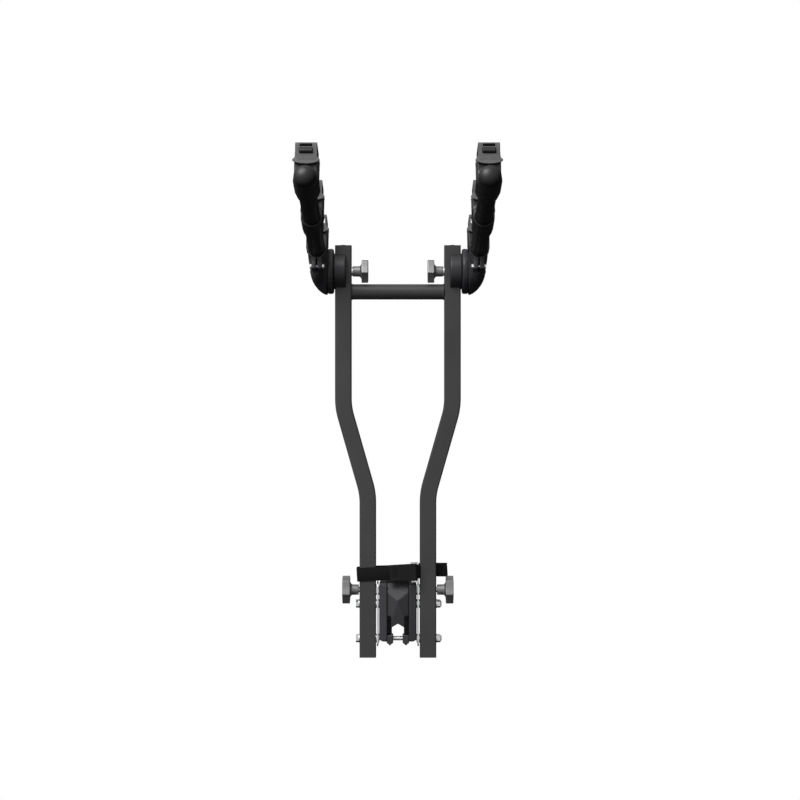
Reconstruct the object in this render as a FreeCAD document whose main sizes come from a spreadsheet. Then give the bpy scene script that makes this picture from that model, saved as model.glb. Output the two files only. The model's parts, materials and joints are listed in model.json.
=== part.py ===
import FreeCAD, Part
import math
import os

import Sketcher
from FreeCAD import Placement, Rotation, Vector

# Tow-ball bicycle rack. Millimetres, +Z up, the car is on the +Y side.
# The origin is the centre of the tow ball. Every piece of the right side (+X)
# is modelled, and the left side is its mirror image.

doc = FreeCAD.newDocument("BikeRack")
sheet = doc.addObject("Spreadsheet::Sheet", "Sizes")


class Size:
    """A length or angle that knows its value and how the sheet works it out."""

    def __init__(self, value, text):
        self.value = float(value)
        self.text = text

    def __add__(self, other):
        other = as_size(other)
        return Size(self.value + other.value, "(%s + %s)" % (self.text, other.text))

    def __radd__(self, other):
        return as_size(other) + self

    def __sub__(self, other):
        other = as_size(other)
        return Size(self.value - other.value, "(%s - %s)" % (self.text, other.text))

    def __rsub__(self, other):
        return as_size(other) - self

    def __mul__(self, other):
        other = as_size(other)
        return Size(self.value * other.value, "(%s * %s)" % (self.text, other.text))

    def __rmul__(self, other):
        return as_size(other) * self

    def __truediv__(self, other):
        other = as_size(other)
        return Size(self.value / other.value, "(%s / %s)" % (self.text, other.text))

    def __neg__(self):
        return Size(-self.value, "(0 - %s)" % self.text)


def as_size(number):
    """Wrap a plain number, such as a half or a zero, for use beside sizes."""
    if isinstance(number, Size):
        return number
    return Size(number, repr(float(number)))


def sine(angle):
    return Size(math.sin(math.radians(angle.value)), "sin(%s)" % angle.text)


def cosine(angle):
    return Size(math.cos(math.radians(angle.value)), "cos(%s)" % angle.text)


row_count = 0


def size(alias, value):
    """Write one driving dimension on the sheet and give it back as a Size."""
    global row_count
    row_count += 1
    sheet.set("A%d" % row_count, alias)
    sheet.set("B%d" % row_count, repr(float(value)))
    sheet.setAlias("B%d" % row_count, alias)
    return Size(value, "Sizes." + alias)


# Uprights: two bent rectangular tubes, one round crossbar
tube_width = size("tube_width", 30.0)
tube_depth = size("tube_depth", 25.0)
tube_wall = size("tube_wall", 2.0)
tube_corner = size("tube_corner", 3.0)
lower_spacing = size("lower_spacing", 109.4)
upper_spacing = size("upper_spacing", 198.4)
foot_drop = size("foot_drop", 72.4)
head_rise = size("head_rise", 46.8)
bend_start = size("bend_start", 280.1)
bend_angle = size("bend_angle", 15.93)
bend_radius = size("bend_radius", 124.0)
ball_setback = size("ball_setback", 28.0)
crossbar_radius = size("crossbar_radius", 14.0)
crossbar_wall = size("crossbar_wall", 2.0)
crossbar_gap = size("crossbar_gap", 0.7)
plug_depth = size("plug_depth", 14.0)
plug_dome_radius = size("plug_dome_radius", 9.0)
plug_dome_rise = size("plug_dome_rise", 1.6)

# Gaps and fits
slip = size("slip", 0.15)
running_gap = size("running_gap", 0.08)
soft_gap = size("soft_gap", 0.35)

# Arm pivot: saddle ring, friction disc, hub, carriage bolt and knob
pivot_height = size("pivot_height", 629.0)
saddle_web = size("saddle_web", 2.1)
saddle_reach = size("saddle_reach", 19.7)
saddle_radius = size("saddle_radius", 33.0)
disc_thickness = size("disc_thickness", 11.5)
disc_radius = size("disc_radius", 41.0)
disc_rounding = size("disc_rounding", 3.5)
hub_radius = size("hub_radius", 43.0)
hub_outer_radius = size("hub_outer_radius", 36.0)
hub_cone_depth = size("hub_cone_depth", 13.4)
hub_dome_depth = size("hub_dome_depth", 11.0)
hub_boss_radius = size("hub_boss_radius", 12.0)
hub_boss_height = size("hub_boss_height", 3.2)
pivot_bolt_radius = size("pivot_bolt_radius", 4.0)
carriage_head_radius = size("carriage_head_radius", 9.0)
carriage_head_height = size("carriage_head_height", 4.8)
arm_knob_across = size("arm_knob_across", 45.0)
arm_knob_thickness = size("arm_knob_thickness", 12.0)
knob_neck_radius = size("knob_neck_radius", 13.0)
knob_neck_length = size("knob_neck_length", 3.0)
knob_stem_radius = size("knob_stem_radius", 9.35)
arm_knob_stem = size("arm_knob_stem", 16.2)
arm_knob_roll = size("arm_knob_roll", 21.0)
arm_washer_radius = size("arm_washer_radius", 8.0)
arm_washer_thickness = size("arm_washer_thickness", 2.0)

# Arms, in their own frame: Y runs along the arm, towards the hub
arm_offset = size("arm_offset", 144.8)
arm_slope = size("arm_slope", 11.5)
arm_rise = size("arm_rise", 22.5)
arm_tube_radius = size("arm_tube_radius", 15.0)
arm_tube_wall = size("arm_tube_wall", 2.0)
arm_reach = size("arm_reach", 481.0)
arm_tail = size("arm_tail", 6.0)
socket_radius = size("socket_radius", 16.8)
socket_front = size("socket_front", 69.9)
socket_rear = size("socket_rear", 14.0)
lug_drop = size("lug_drop", 14.2)
lug_width = size("lug_width", 8.0)
lug_gap = size("lug_gap", 2.4)
lug_depth = size("lug_depth", 15.0)
pinch_bolt_radius = size("pinch_bolt_radius", 2.5)
pinch_head_radius = size("pinch_head_radius", 4.2)
pinch_head_height = size("pinch_head_height", 3.2)
pinch_nut_across = size("pinch_nut_across", 8.0)
pinch_nut_height = size("pinch_nut_height", 4.0)
sleeve_radius = size("sleeve_radius", 18.0)
tip_sleeve_length = size("tip_sleeve_length", 98.0)
tip_cap_length = size("tip_cap_length", 13.0)
middle_sleeve_length = size("middle_sleeve_length", 70.0)
middle_sleeve_front = size("middle_sleeve_front", 260.0)

# Cradles and ladder straps, in heights above the arm's axis
cradle_pitch = size("cradle_pitch", 185.0)
inner_cradle_place = size("inner_cradle_place", 43.5)
cradle_width = size("cradle_width", 38.0)
cradle_hollow_radius = size("cradle_hollow_radius", 22.0)
cradle_post = size("cradle_post", 5.5)
cradle_hollow_height = size("cradle_hollow_height", 42.0)
cradle_post_height = size("cradle_post_height", 50.0)
pad_thickness = size("pad_thickness", 4.0)
pad_width = size("pad_width", 34.0)
ear_radius = size("ear_radius", 5.5)
eye_radius = size("eye_radius", 4.5)
strap_pin_radius = size("strap_pin_radius", 2.0)
strap_root_width = size("strap_root_width", 20.0)
strap_width = size("strap_width", 35.0)
strap_thickness = size("strap_thickness", 3.0)
strap_top_height = size("strap_top_height", 66.0)
hooked_drop = size("hooked_drop", 2.5)
strap_gap = size("strap_gap", 0.6)
strap_bend = size("strap_bend", 6.0)
tab_width = size("tab_width", 42.6)
tab_top_height = size("tab_top_height", 44.0)
tab_bottom_height = size("tab_bottom_height", 28.0)
tab_flare = size("tab_flare", 4.0)
rung_width = size("rung_width", 20.0)
rung_height = size("rung_height", 4.5)
rung_place = size("rung_place", 58.0)
wide_rung_width = size("wide_rung_width", 29.0)
latch_width = size("latch_width", 21.0)
latch_height = size("latch_height", 9.0)
latch_place = size("latch_place", 46.5)
latch_stand = size("latch_stand", 3.4)

# Coupling: cover, cheeks, ball seat, jaws, side plates and their fasteners
ball_radius = size("ball_radius", 25.0)
seat_play = size("seat_play", 0.2)
cover_half_width = size("cover_half_width", 20.0)
hood_half_width = size("hood_half_width", 34.0)
hood_wall = size("hood_wall", 3.0)
hood_front = size("hood_front", 50.0)
hood_rear = size("hood_rear", 32.0)
hood_bottom = size("hood_bottom", 46.0)
cover_top = size("cover_top", 66.5)
cover_chin_rise = size("cover_chin_rise", 18.0)
cover_chin_set = size("cover_chin_set", 4.0)
cover_brow_drop = size("cover_brow_drop", 42.0)
cover_temple_drop = size("cover_temple_drop", 20.0)
cover_crown_drop = size("cover_crown_drop", 6.0)
cover_crown_set = size("cover_crown_set", 11.0)
cover_crown_reach = size("cover_crown_reach", 22.0)
cover_rear_bevel = size("cover_rear_bevel", 12.0)
cheek_top = size("cheek_top", 64.0)
cheek_rounding = size("cheek_rounding", 7.0)
window_radius = size("window_radius", 12.4)
window_drop = size("window_drop", 22.5)
notch_half_width = size("notch_half_width", 8.5)
slot_inner = size("slot_inner", 12.0)
slot_top = size("slot_top", 3.7)
slot_bottom = size("slot_bottom", 31.0)
foot_tip = size("foot_tip", 50.0)
foot_depth = size("foot_depth", 30.0)
seat_depth = size("seat_depth", 34.0)
seat_top = size("seat_top", 40.0)
seat_bottom = size("seat_bottom", 2.0)
jaw_inner = size("jaw_inner", 21.0)
jaw_thickness = size("jaw_thickness", 6.5)
jaw_front = size("jaw_front", 38.0)
jaw_rear = size("jaw_rear", 22.0)
jaw_top = size("jaw_top", 58.0)
jaw_bottom = size("jaw_bottom", 16.0)
jaw_socket_depth = size("jaw_socket_depth", 4.0)
clamp_height = size("clamp_height", 49.9)
clamp_screw_radius = size("clamp_screw_radius", 5.0)
clamp_nut_across = size("clamp_nut_across", 17.0)
clamp_knob_across = size("clamp_knob_across", 51.4)
clamp_knob_thickness = size("clamp_knob_thickness", 13.9)
clamp_knob_stem = size("clamp_knob_stem", 15.8)
clamp_knob_stand = size("clamp_knob_stand", 1.5)
clamp_knob_roll = size("clamp_knob_roll", 15.0)
knob_rounding = size("knob_rounding", 1.6)
plate_thickness = size("plate_thickness", 2.5)
plate_front = size("plate_front", 42.0)
plate_rear = size("plate_rear", 14.0)
plate_top = size("plate_top", 63.0)
plate_bottom = size("plate_bottom", 52.0)
upper_bolt_height = size("upper_bolt_height", 24.5)
lower_bolt_drop = size("lower_bolt_drop", 38.5)
bolt_radius = size("bolt_radius", 4.0)
bolt_across = size("bolt_across", 13.0)
bolt_head_height = size("bolt_head_height", 5.0)
lock_nut_height = size("lock_nut_height", 8.0)
washer_radius = size("washer_radius", 8.0)
washer_thickness = size("washer_thickness", 1.6)

# Webbing strap with its cam buckle, wrapped round the lower uprights
webbing_width = size("webbing_width", 25.0)
webbing_thickness = size("webbing_thickness", 1.6)
webbing_height = size("webbing_height", 82.2)
webbing_tilt = size("webbing_tilt", 3.3)
webbing_side_gap = size("webbing_side_gap", 3.5)
webbing_right_end = size("webbing_right_end", 36.0)
tail_reach = size("tail_reach", 21.0)
tail_fold = size("tail_fold", 4.6)
buckle_left = size("buckle_left", 10.0)
buckle_right = size("buckle_right", 37.0)
buckle_height = size("buckle_height", 35.0)
buckle_sheet = size("buckle_sheet", 1.5)
buckle_flange = size("buckle_flange", 9.0)
lever_length = size("lever_length", 46.0)
lever_height = size("lever_height", 28.0)
lever_thickness = size("lever_thickness", 7.0)
lever_pin_place = size("lever_pin_place", 31.0)
lever_pin_radius = size("lever_pin_radius", 1.75)

# Places that follow from the sizes above
upright_y = -ball_setback
lower_x = lower_spacing / 2
upper_x = upper_spacing / 2
foot_z = -foot_drop
head_z = pivot_height + head_rise
crossbar_height = pivot_height - arm_knob_across / 2 - crossbar_gap - crossbar_radius
tube_half = tube_width / 2
tube_front_y = upright_y - tube_depth / 2
tube_rear_y = upright_y + tube_depth / 2
lower_inner_x = lower_x - tube_half
lower_outer_x = lower_x + tube_half
upper_inner_x = upper_x - tube_half
upper_outer_x = upper_x + tube_half
saddle_outer_x = upper_outer_x + saddle_web
disc_outer_x = saddle_outer_x + disc_thickness
spacer_thickness = (lower_inner_x - hood_half_width - plate_thickness) / 2
plate_start_x = hood_half_width + spacer_thickness
strap_pin_u = cradle_hollow_radius + ear_radius
post_outer_u = cradle_hollow_radius + cradle_post
face_inner_u = post_outer_u + strap_gap
face_outer_u = face_inner_u + strap_thickness
lower_latch_place = tab_top_height - latch_height - 0.5

doc.recompute()
nodes = {}


def bind(obj, prop, amount):
    """Tie one property of an object to the sheet."""
    obj.setExpression(prop, as_size(amount).text)


def put(obj, x, y, z):
    """Tie an object's place to the sheet."""
    for letter, amount in (("x", x), ("y", y), ("z", z)):
        bind(obj, "Placement.Base." + letter, amount)
    return obj


AXIS_TURNS = {
    "X": Rotation(Vector(0, 1, 0), 90),
    "Y": Rotation(Vector(1, 0, 0), -90),
    "Z": Rotation(),
}


def block(name, x, y, z, across, along, tall):
    """A box from its lowest corner."""
    box = doc.addObject("Part::Box", name)
    bind(box, "Length", across)
    bind(box, "Width", along)
    bind(box, "Height", tall)
    return put(box, x, y, z)


def rod(name, axis, x, y, z, radius, length):
    """A cylinder that starts at a point and runs along +X, +Y or +Z."""
    cylinder = doc.addObject("Part::Cylinder", name)
    cylinder.Placement = Placement(Vector(), AXIS_TURNS[axis])
    bind(cylinder, "Radius", radius)
    bind(cylinder, "Height", length)
    return put(cylinder, x, y, z)


def cone(name, axis, x, y, z, start_radius, end_radius, length):
    """A cone frustum that starts at a point and runs along an axis."""
    frustum = doc.addObject("Part::Cone", name)
    frustum.Placement = Placement(Vector(), AXIS_TURNS[axis])
    bind(frustum, "Radius1", start_radius)
    bind(frustum, "Radius2", end_radius)
    bind(frustum, "Height", length)
    return put(frustum, x, y, z)


def ball(name, x, y, z, radius):
    sphere = doc.addObject("Part::Sphere", name)
    bind(sphere, "Radius", radius)
    return put(sphere, x, y, z)


def hexagon(name, axis, x, y, z, circumradius, length):
    """A six-sided prism that starts at a point and runs along an axis."""
    prism = doc.addObject("Part::Prism", name)
    prism.Polygon = 6
    prism.Placement = Placement(Vector(), AXIS_TURNS[axis])
    bind(prism, "Circumradius", circumradius)
    bind(prism, "Height", length)
    return put(prism, x, y, z)


def fuse(name, *shapes):
    union = doc.addObject("Part::MultiFuse", name)
    union.Shapes = list(shapes)
    union.Refine = True
    return union


def cut(name, base, *tools):
    """One solid less one or more tools."""
    result = doc.addObject("Part::Cut", name)
    result.Base = base
    result.Tool = tools[0] if len(tools) == 1 else fuse(name + "_tools", *tools)
    return result


def common(name, first, second):
    result = doc.addObject("Part::Common", name)
    result.Base = first
    result.Tool = second
    return result


def group(name, *shapes):
    """Several separate solids that share one node."""
    bundle = doc.addObject("Part::Compound", name)
    bundle.Links = list(shapes)
    return bundle


def mirrored(name, source):
    """The mirror image of a right-hand piece across the middle plane."""
    image = doc.addObject("Part::Mirroring", name)
    image.Source = source
    image.Normal = Vector(1, 0, 0)
    return image


def node(name, obj):
    """Name a finished sub-part; the name is also its file's name."""
    obj.Label = name
    nodes[name] = obj
    return obj


def pair(name, right):
    """A right-hand sub-part and its mirror image."""
    node(name + "_right", right)
    node(name + "_left", mirrored(name + "_left", right))
    return right


def round_edges(name, source, radius, wanted):
    """Fillet the edges of a shape for which wanted(edge) is true."""
    doc.recompute()
    fillet = doc.addObject("Part::Fillet", name)
    fillet.Base = source
    edges = source.Shape.Edges
    fillet.Edges = [(i + 1, radius.value, radius.value) for i, edge in enumerate(edges) if wanted(edge)]
    return fillet


def straight_along(edge, axis):
    """Whether an edge is a straight line along one axis, such as 0 for X."""
    if edge.Curve.TypeId != "Part::GeomLine":
        return False
    return abs(abs(edge.tangentAt(edge.FirstParameter)[axis]) - 1) < 1e-6


def new_body(name):
    return doc.addObject("PartDesign::Body", name)


def new_sketch(body, name, role, offset=0):
    """A sketch on one of the body's own origin planes, moved along its normal."""
    sketch = body.newObject("Sketcher::SketchObject", name)
    plane = [item for item in body.Origin.OriginFeatures if item.Role == role][0]
    sketch.AttachmentSupport = (plane, [""])
    sketch.MapMode = "FlatFace"
    bind(sketch, "AttachmentOffset.Base.z", offset)
    return sketch


def fix_point(sketch, index, end, x, y):
    """Tie one end of a sketch line to the sheet, measured from the sketch's origin."""
    for kind, amount in (("DistanceX", x), ("DistanceY", y)):
        amount = as_size(amount)
        constraint = Sketcher.Constraint(kind, -1, 1, index, end, amount.value)
        place = sketch.addConstraint(constraint)
        sketch.setExpression("Constraints[%d]" % place, amount.text)


def arc_between(start, end, radius, turn):
    """An arc of less than half a circle; turn is 1 to the left and -1 to the right."""
    chord = end - start
    middle = (start + end) * 0.5
    reach = math.sqrt(max(radius ** 2 - (chord.Length / 2) ** 2, 0.0))
    left = Vector(-chord.y, chord.x, 0).normalize()
    centre = middle + left * (turn * reach)
    first, last = (start, end) if turn > 0 else (end, start)
    first_angle = math.atan2(first.y - centre.y, first.x - centre.x)
    last_angle = math.atan2(last.y - centre.y, last.x - centre.x)
    if last_angle < first_angle:
        last_angle += 2 * math.pi
    return Part.ArcOfCircle(Part.Circle(centre, Vector(0, 0, 1), radius), first_angle, last_angle)


def outline(sketch, corners, closed=True):
    """Lines and arcs through corners, all tied to the sheet.

    A corner is (x, y), or (x, y, radius, turn) where an arc leads to the next one.
    """
    count = len(corners)
    runs = count if closed else count - 1
    points = [Vector(as_size(c[0]).value, as_size(c[1]).value, 0) for c in corners]
    ends, runs_at = [], []
    for i in range(runs):
        start, end = points[i], points[(i + 1) % count]
        if len(corners[i]) == 4:
            turn = corners[i][3]
            index = sketch.addGeometry(arc_between(start, end, corners[i][2].value, turn), False)
            ends.append((1, 2) if turn > 0 else (2, 1))
            place = sketch.addConstraint(Sketcher.Constraint("Radius", index, corners[i][2].value))
            sketch.setExpression("Constraints[%d]" % place, corners[i][2].text)
        else:
            index = sketch.addGeometry(Part.LineSegment(start, end), False)
            ends.append((1, 2))
        runs_at.append(index)
    for i in range(runs):
        if i + 1 < runs or closed:
            following = (i + 1) % runs
            joint = ("Coincident", runs_at[i], ends[i][1], runs_at[following], ends[following][0])
            sketch.addConstraint(Sketcher.Constraint(*joint))
        fix_point(sketch, runs_at[i], ends[i][0], corners[i][0], corners[i][1])
    if not closed:
        fix_point(sketch, runs_at[-1], ends[-1][1], corners[-1][0], corners[-1][1])
    return sketch


def rectangle(sketch, left, low, right, high):
    return outline(sketch, [(left, low), (right, low), (right, high), (left, high)])


def rounded_rectangle(sketch, x, y, width, depth, radius):
    """A rectangle about a centre, with quarter-round corners."""
    left, right = x - width / 2, x + width / 2
    low, high = y - depth / 2, y + depth / 2
    corners = [
        (left + radius, low),
        (right - radius, low, radius, 1),
        (right, low + radius),
        (right, high - radius, radius, 1),
        (right - radius, high),
        (left + radius, high, radius, 1),
        (left, high - radius),
        (left, low + radius, radius, 1),
    ]
    return outline(sketch, corners)


def circle(sketch, x, y, radius):
    radius = as_size(radius)
    centre = Vector(as_size(x).value, as_size(y).value, 0)
    index = sketch.addGeometry(Part.Circle(centre, Vector(0, 0, 1), radius.value), False)
    fix_point(sketch, index, 3, x, y)
    place = sketch.addConstraint(Sketcher.Constraint("Radius", index, radius.value))
    sketch.setExpression("Constraints[%d]" % place, radius.text)


def pad(body, sketch, length, symmetric=False):
    feature = body.newObject("PartDesign::Pad", sketch.Name + "_pad")
    feature.Profile = sketch
    feature.SideType = "Symmetric" if symmetric else "One side"
    bind(feature, "Length", length)
    sketch.Visibility = False
    return feature


def pocket_through(body, sketch):
    """Cut a sketch through the whole body, both ways."""
    feature = body.newObject("PartDesign::Pocket", sketch.Name + "_pocket")
    feature.Profile = sketch
    feature.SideType = "Symmetric"
    feature.Type = "ThroughAll"
    return feature


def solid_of_outline(name, role, offset, corners, length, symmetric=False):
    """A body padded from one outline."""
    body = new_body(name)
    sketch = outline(new_sketch(body, name + "_outline", role, offset), corners)
    pad(body, sketch, length, symmetric)
    return body


def on_arm(obj, along=0, up=0):
    """Set an arm piece on the right arm: along its axis frame and up from the pivot."""
    along, up = as_size(along), as_size(up)
    obj.Placement = Placement(Vector(), Rotation(Vector(1, 0, 0), -1))
    bind(obj, "Placement.Rotation.Angle", -arm_slope)
    put(
        obj,
        arm_offset,
        upright_y + along * cosine(arm_slope) + up * sine(arm_slope),
        pivot_height - along * sine(arm_slope) + up * cosine(arm_slope),
    )
    return obj


def make_uprights():
    """A rectangular tube swept along a line with two opposite bends."""
    body = new_body("upright")
    lift = bend_radius * sine(bend_angle)
    shift = bend_radius * (1 - cosine(bend_angle))
    bend_z = foot_z + bend_start
    slant_run = upper_x - lower_x - shift * 2
    slant_rise = slant_run * cosine(bend_angle) / sine(bend_angle)
    slant_top_z = bend_z + lift + slant_rise
    path = new_sketch(body, "upright_path", "XZ_Plane", -upright_y)
    corners = [
        (lower_x, foot_z),
        (lower_x, bend_z, bend_radius, -1),
        (lower_x + shift, bend_z + lift),
        (upper_x - shift, slant_top_z, bend_radius, 1),
        (upper_x, slant_top_z + lift),
        (upper_x, head_z),
    ]
    outline(path, corners, closed=False)
    outer = new_sketch(body, "upright_outer", "XY_Plane", foot_z)
    rounded_rectangle(outer, lower_x, upright_y, tube_width, tube_depth, tube_corner)
    inner = new_sketch(body, "upright_inner", "XY_Plane", foot_z)
    bore_corner = tube_corner - tube_wall
    rounded_rectangle(
        inner, lower_x, upright_y, tube_width - tube_wall * 2, tube_depth - tube_wall * 2, bore_corner
    )
    doc.recompute()
    for kind, profile in (("AdditivePipe", outer), ("SubtractivePipe", inner)):
        sweep = body.newObject("PartDesign::" + kind, profile.Name + "_sweep")
        sweep.Profile = profile
        sweep.Spine = (path, ["Edge%d" % (i + 1) for i in range(len(corners) - 1)])
        doc.recompute()
    bores = new_sketch(body, "upright_bores", "YZ_Plane")
    circle(bores, upright_y, pivot_height, pivot_bolt_radius + running_gap)
    circle(bores, upright_y, clamp_height, clamp_screw_radius + running_gap)
    circle(bores, upright_y, upper_bolt_height, bolt_radius + slip)
    circle(bores, upright_y, -lower_bolt_drop, bolt_radius + slip)
    pocket_through(body, bores)
    pair("upright", body)


def tube_plug(name, x, end_z, facing):
    """A plug inside a tube's end, flush with it, with a shallow dome outside."""
    inside_width = tube_width - tube_wall * 2 - slip * 2
    inside_depth = tube_depth - tube_wall * 2 - slip * 2
    low = end_z if facing < 0 else end_z - plug_depth
    core = block(
        name + "_core",
        x - inside_width / 2,
        upright_y - inside_depth / 2,
        low,
        inside_width,
        inside_depth,
        plug_depth,
    )
    core = round_edges(
        name + "_body", core, tube_corner - tube_wall + slip, lambda edge: straight_along(edge, 2)
    )
    reach, rise = plug_dome_radius, plug_dome_rise
    ball_size = (reach * reach + rise * rise) / (rise * 2)
    centre_z = end_z - (ball_size - rise) * facing
    globe = ball(name + "_globe", x, upright_y, centre_z, ball_size)
    slab_low = end_z if facing > 0 else end_z - rise
    side = reach * 2 + 2
    slab = block(name + "_slab", x - side / 2, upright_y - side / 2, slab_low, side, side, rise)
    return fuse(name, core, common(name + "_dome", globe, slab))


def make_tube_plugs():
    """Four plastic plugs, one in each open tube end."""
    lower = tube_plug("plug_lower", lower_x, foot_z, -1)
    upper = tube_plug("plug_upper", upper_x, head_z, 1)
    images = [mirrored("plug_lower_image", lower), mirrored("plug_upper_image", upper)]
    node("tube_plugs", group("plugs", lower, upper, *images))


def make_crossbar():
    length = upper_inner_x * 2
    outer = rod("crossbar_outer", "X", -upper_inner_x, upright_y, crossbar_height, crossbar_radius, length)
    bore = rod(
        "crossbar_bore",
        "X",
        -upper_inner_x,
        upright_y,
        crossbar_height,
        crossbar_radius - crossbar_wall,
        length,
    )
    node("crossbar", cut("crossbar_tube", outer, bore))


def make_saddle_rings():
    """A plastic ring that straddles the tube and gives the disc its flat seat."""
    start = saddle_outer_x - saddle_web - saddle_reach
    drum = rod("saddle_drum", "X", start, upright_y, pivot_height, saddle_radius, saddle_web + saddle_reach)
    drum = round_edges(
        "saddle_round", drum, disc_rounding, lambda edge: edge.BoundBox.XMax < start.value + 1
    )
    channel = block(
        "saddle_channel",
        start - 1,
        tube_front_y - slip,
        pivot_height - saddle_radius - 1,
        saddle_reach + 1,
        tube_depth + slip * 2,
        saddle_radius * 2 + 2,
    )
    bore = rod(
        "saddle_bore",
        "X",
        start,
        upright_y,
        pivot_height,
        pivot_bolt_radius + running_gap,
        saddle_web + saddle_reach,
    )
    pair("saddle_ring", cut("saddle", drum, channel, bore))


def make_friction_discs():
    """The thick disc between the saddle ring and the hub; it turns with the arm."""
    drum = rod("disc_drum", "X", saddle_outer_x, upright_y, pivot_height, disc_radius, disc_thickness)
    drum = round_edges(
        "disc_round", drum, disc_rounding, lambda edge: edge.Curve.TypeId == "Part::GeomCircle"
    )
    bore = rod(
        "disc_bore", "X", saddle_outer_x, upright_y, pivot_height, pivot_bolt_radius + slip, disc_thickness
    )
    pair("friction_disc", cut("disc", drum, bore))


def make_hubs():
    """The elbow that carries the arm, and the pinch bolt that draws its lugs together."""
    face_x = disc_outer_x - arm_offset
    body = new_body("hub_drum")
    profile = new_sketch(body, "hub_profile", "XY_Plane")
    cone_x = face_x + hub_cone_depth
    dome_x = cone_x + hub_dome_depth
    boss_x = dome_x + hub_boss_height
    rise, reach = hub_dome_depth, hub_outer_radius
    dome_radius = (rise * rise + reach * reach) / (rise * 2) + 2
    corners = [
        (face_x, 0),
        (face_x, hub_radius),
        (cone_x, hub_outer_radius, dome_radius, -1),
        (dome_x, hub_boss_radius),
        (boss_x, hub_boss_radius),
        (boss_x, 0),
    ]
    outline(profile, corners)
    turned = body.newObject("PartDesign::Revolution", "hub_turned")
    turned.Profile = profile
    turned.ReferenceAxis = (profile, ["H_Axis"])
    turned.Angle = 360
    socket = rod("hub_socket", "Y", 0, -socket_front, arm_rise, socket_radius, socket_front + socket_rear)
    heel = ball("hub_heel", 0, socket_rear, arm_rise, socket_radius)
    half = socket_radius - 2
    keel_corners = [
        (-socket_front + 3, arm_rise),
        (-socket_front + lug_depth, -lug_drop + 1),
        (-hub_outer_radius + 2, -hub_outer_radius / 2 - 4),
        (-hub_radius / 4, -hub_outer_radius + 6),
        (socket_rear, -hub_boss_radius),
        (socket_rear + half, arm_rise),
    ]
    keel = solid_of_outline("hub_keel", "YZ_Plane", -half, keel_corners, half + boss_x)
    parts = [body, socket, heel, keel]
    for side in (-1, 1):
        lug_x = lug_gap / 2 if side > 0 else -lug_gap / 2 - lug_width
        parts.append(
            block("hub_lug", lug_x, -socket_front + 1, -lug_drop, lug_width, lug_depth, lug_drop + arm_rise)
        )
    solid = fuse("hub_solid", *parts)
    bolt_bore = rod("hub_bolt_bore", "X", face_x - 1, 0, 0, pivot_bolt_radius + slip, boss_x - face_x + 2)
    tube_bore = rod(
        "hub_tube_bore",
        "Y",
        0,
        -socket_front - 1,
        arm_rise,
        arm_tube_radius + slip,
        socket_front + arm_tail + 1 + slip,
    )
    slit = block(
        "hub_slit",
        -lug_gap / 2,
        -socket_front - 1,
        -lug_drop - 1,
        lug_gap,
        lug_depth + 2,
        lug_drop + arm_rise,
    )
    lug_side = lug_gap / 2 + lug_width
    pinch_y = -socket_front + lug_depth / 2
    pinch_z = -lug_drop + pinch_head_radius + 2
    hole = rod(
        "hub_pinch_bore",
        "X",
        -lug_side - 1,
        pinch_y,
        pinch_z,
        pinch_bolt_radius + running_gap,
        lug_side * 2 + 2,
    )
    pair("arm_hub", on_arm(cut("hub", solid, bolt_bore, tube_bore, slit, hole)))
    start = -lug_side - pinch_nut_height
    shank = rod("pinch_shank", "X", start, pinch_y, pinch_z, pinch_bolt_radius, lug_side - start)
    head = rod("pinch_head", "X", lug_side, pinch_y, pinch_z, pinch_head_radius, pinch_head_height)
    corner = pinch_nut_across / 2 / cosine(as_size(30))
    nut = hexagon("pinch_nut_body", "X", start, pinch_y, pinch_z, corner, pinch_nut_height)
    bore = rod(
        "pinch_nut_bore",
        "X",
        start,
        pinch_y,
        pinch_z,
        pinch_bolt_radius + running_gap / 4,
        pinch_nut_height,
    )
    pieces = group("pinch_set", fuse("pinch_solid", shank, head), cut("pinch_nut", nut, bore))
    pair("pinch_bolt", on_arm(pieces))


def make_pivot_bolts():
    """Carriage bolts: a domed head on the hub's boss and a long plain shank."""
    start = upper_inner_x - arm_washer_thickness - arm_knob_stem
    boss_x = disc_outer_x + hub_cone_depth + hub_dome_depth + hub_boss_height
    shank = rod("pivot_shank", "X", start, upright_y, pivot_height, pivot_bolt_radius, boss_x - start)
    rise, reach = carriage_head_height, carriage_head_radius
    globe_radius = (rise * rise + reach * reach) / (rise * 2)
    globe = ball("pivot_globe", boss_x + rise - globe_radius, upright_y, pivot_height, globe_radius)
    slab = block(
        "pivot_slab",
        boss_x,
        upright_y - reach - 1,
        pivot_height - reach - 1,
        rise,
        reach * 2 + 2,
        reach * 2 + 2,
    )
    pair("pivot_bolt", fuse("pivot", shank, common("pivot_head", globe, slab)))


def knob(name, across, thickness, stem, bore, roll):
    """A hexagonal hand knob along +Z: outer face at zero, then neck and stem."""
    head = hexagon(name + "_hexagon", "Z", 0, 0, 0, across / 2, thickness)
    head.Placement = Placement(Vector(), Rotation(Vector(0, 0, 1), 1))
    bind(head, "Placement.Rotation.Angle", roll)
    head = round_edges(name + "_head", head, knob_rounding, lambda edge: True)
    neck = cone(
        name + "_neck",
        "Z",
        0,
        0,
        thickness - 1,
        knob_neck_radius + 1,
        knob_neck_radius - 2,
        knob_neck_length + 1,
    )
    shaft = rod(name + "_stem", "Z", 0, 0, thickness, knob_stem_radius, stem)
    hole = rod(name + "_hole", "Z", 0, 0, thickness / 2, bore, thickness + stem)
    return cut(name, fuse(name + "_solid", head, neck, shaft), hole)


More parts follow.
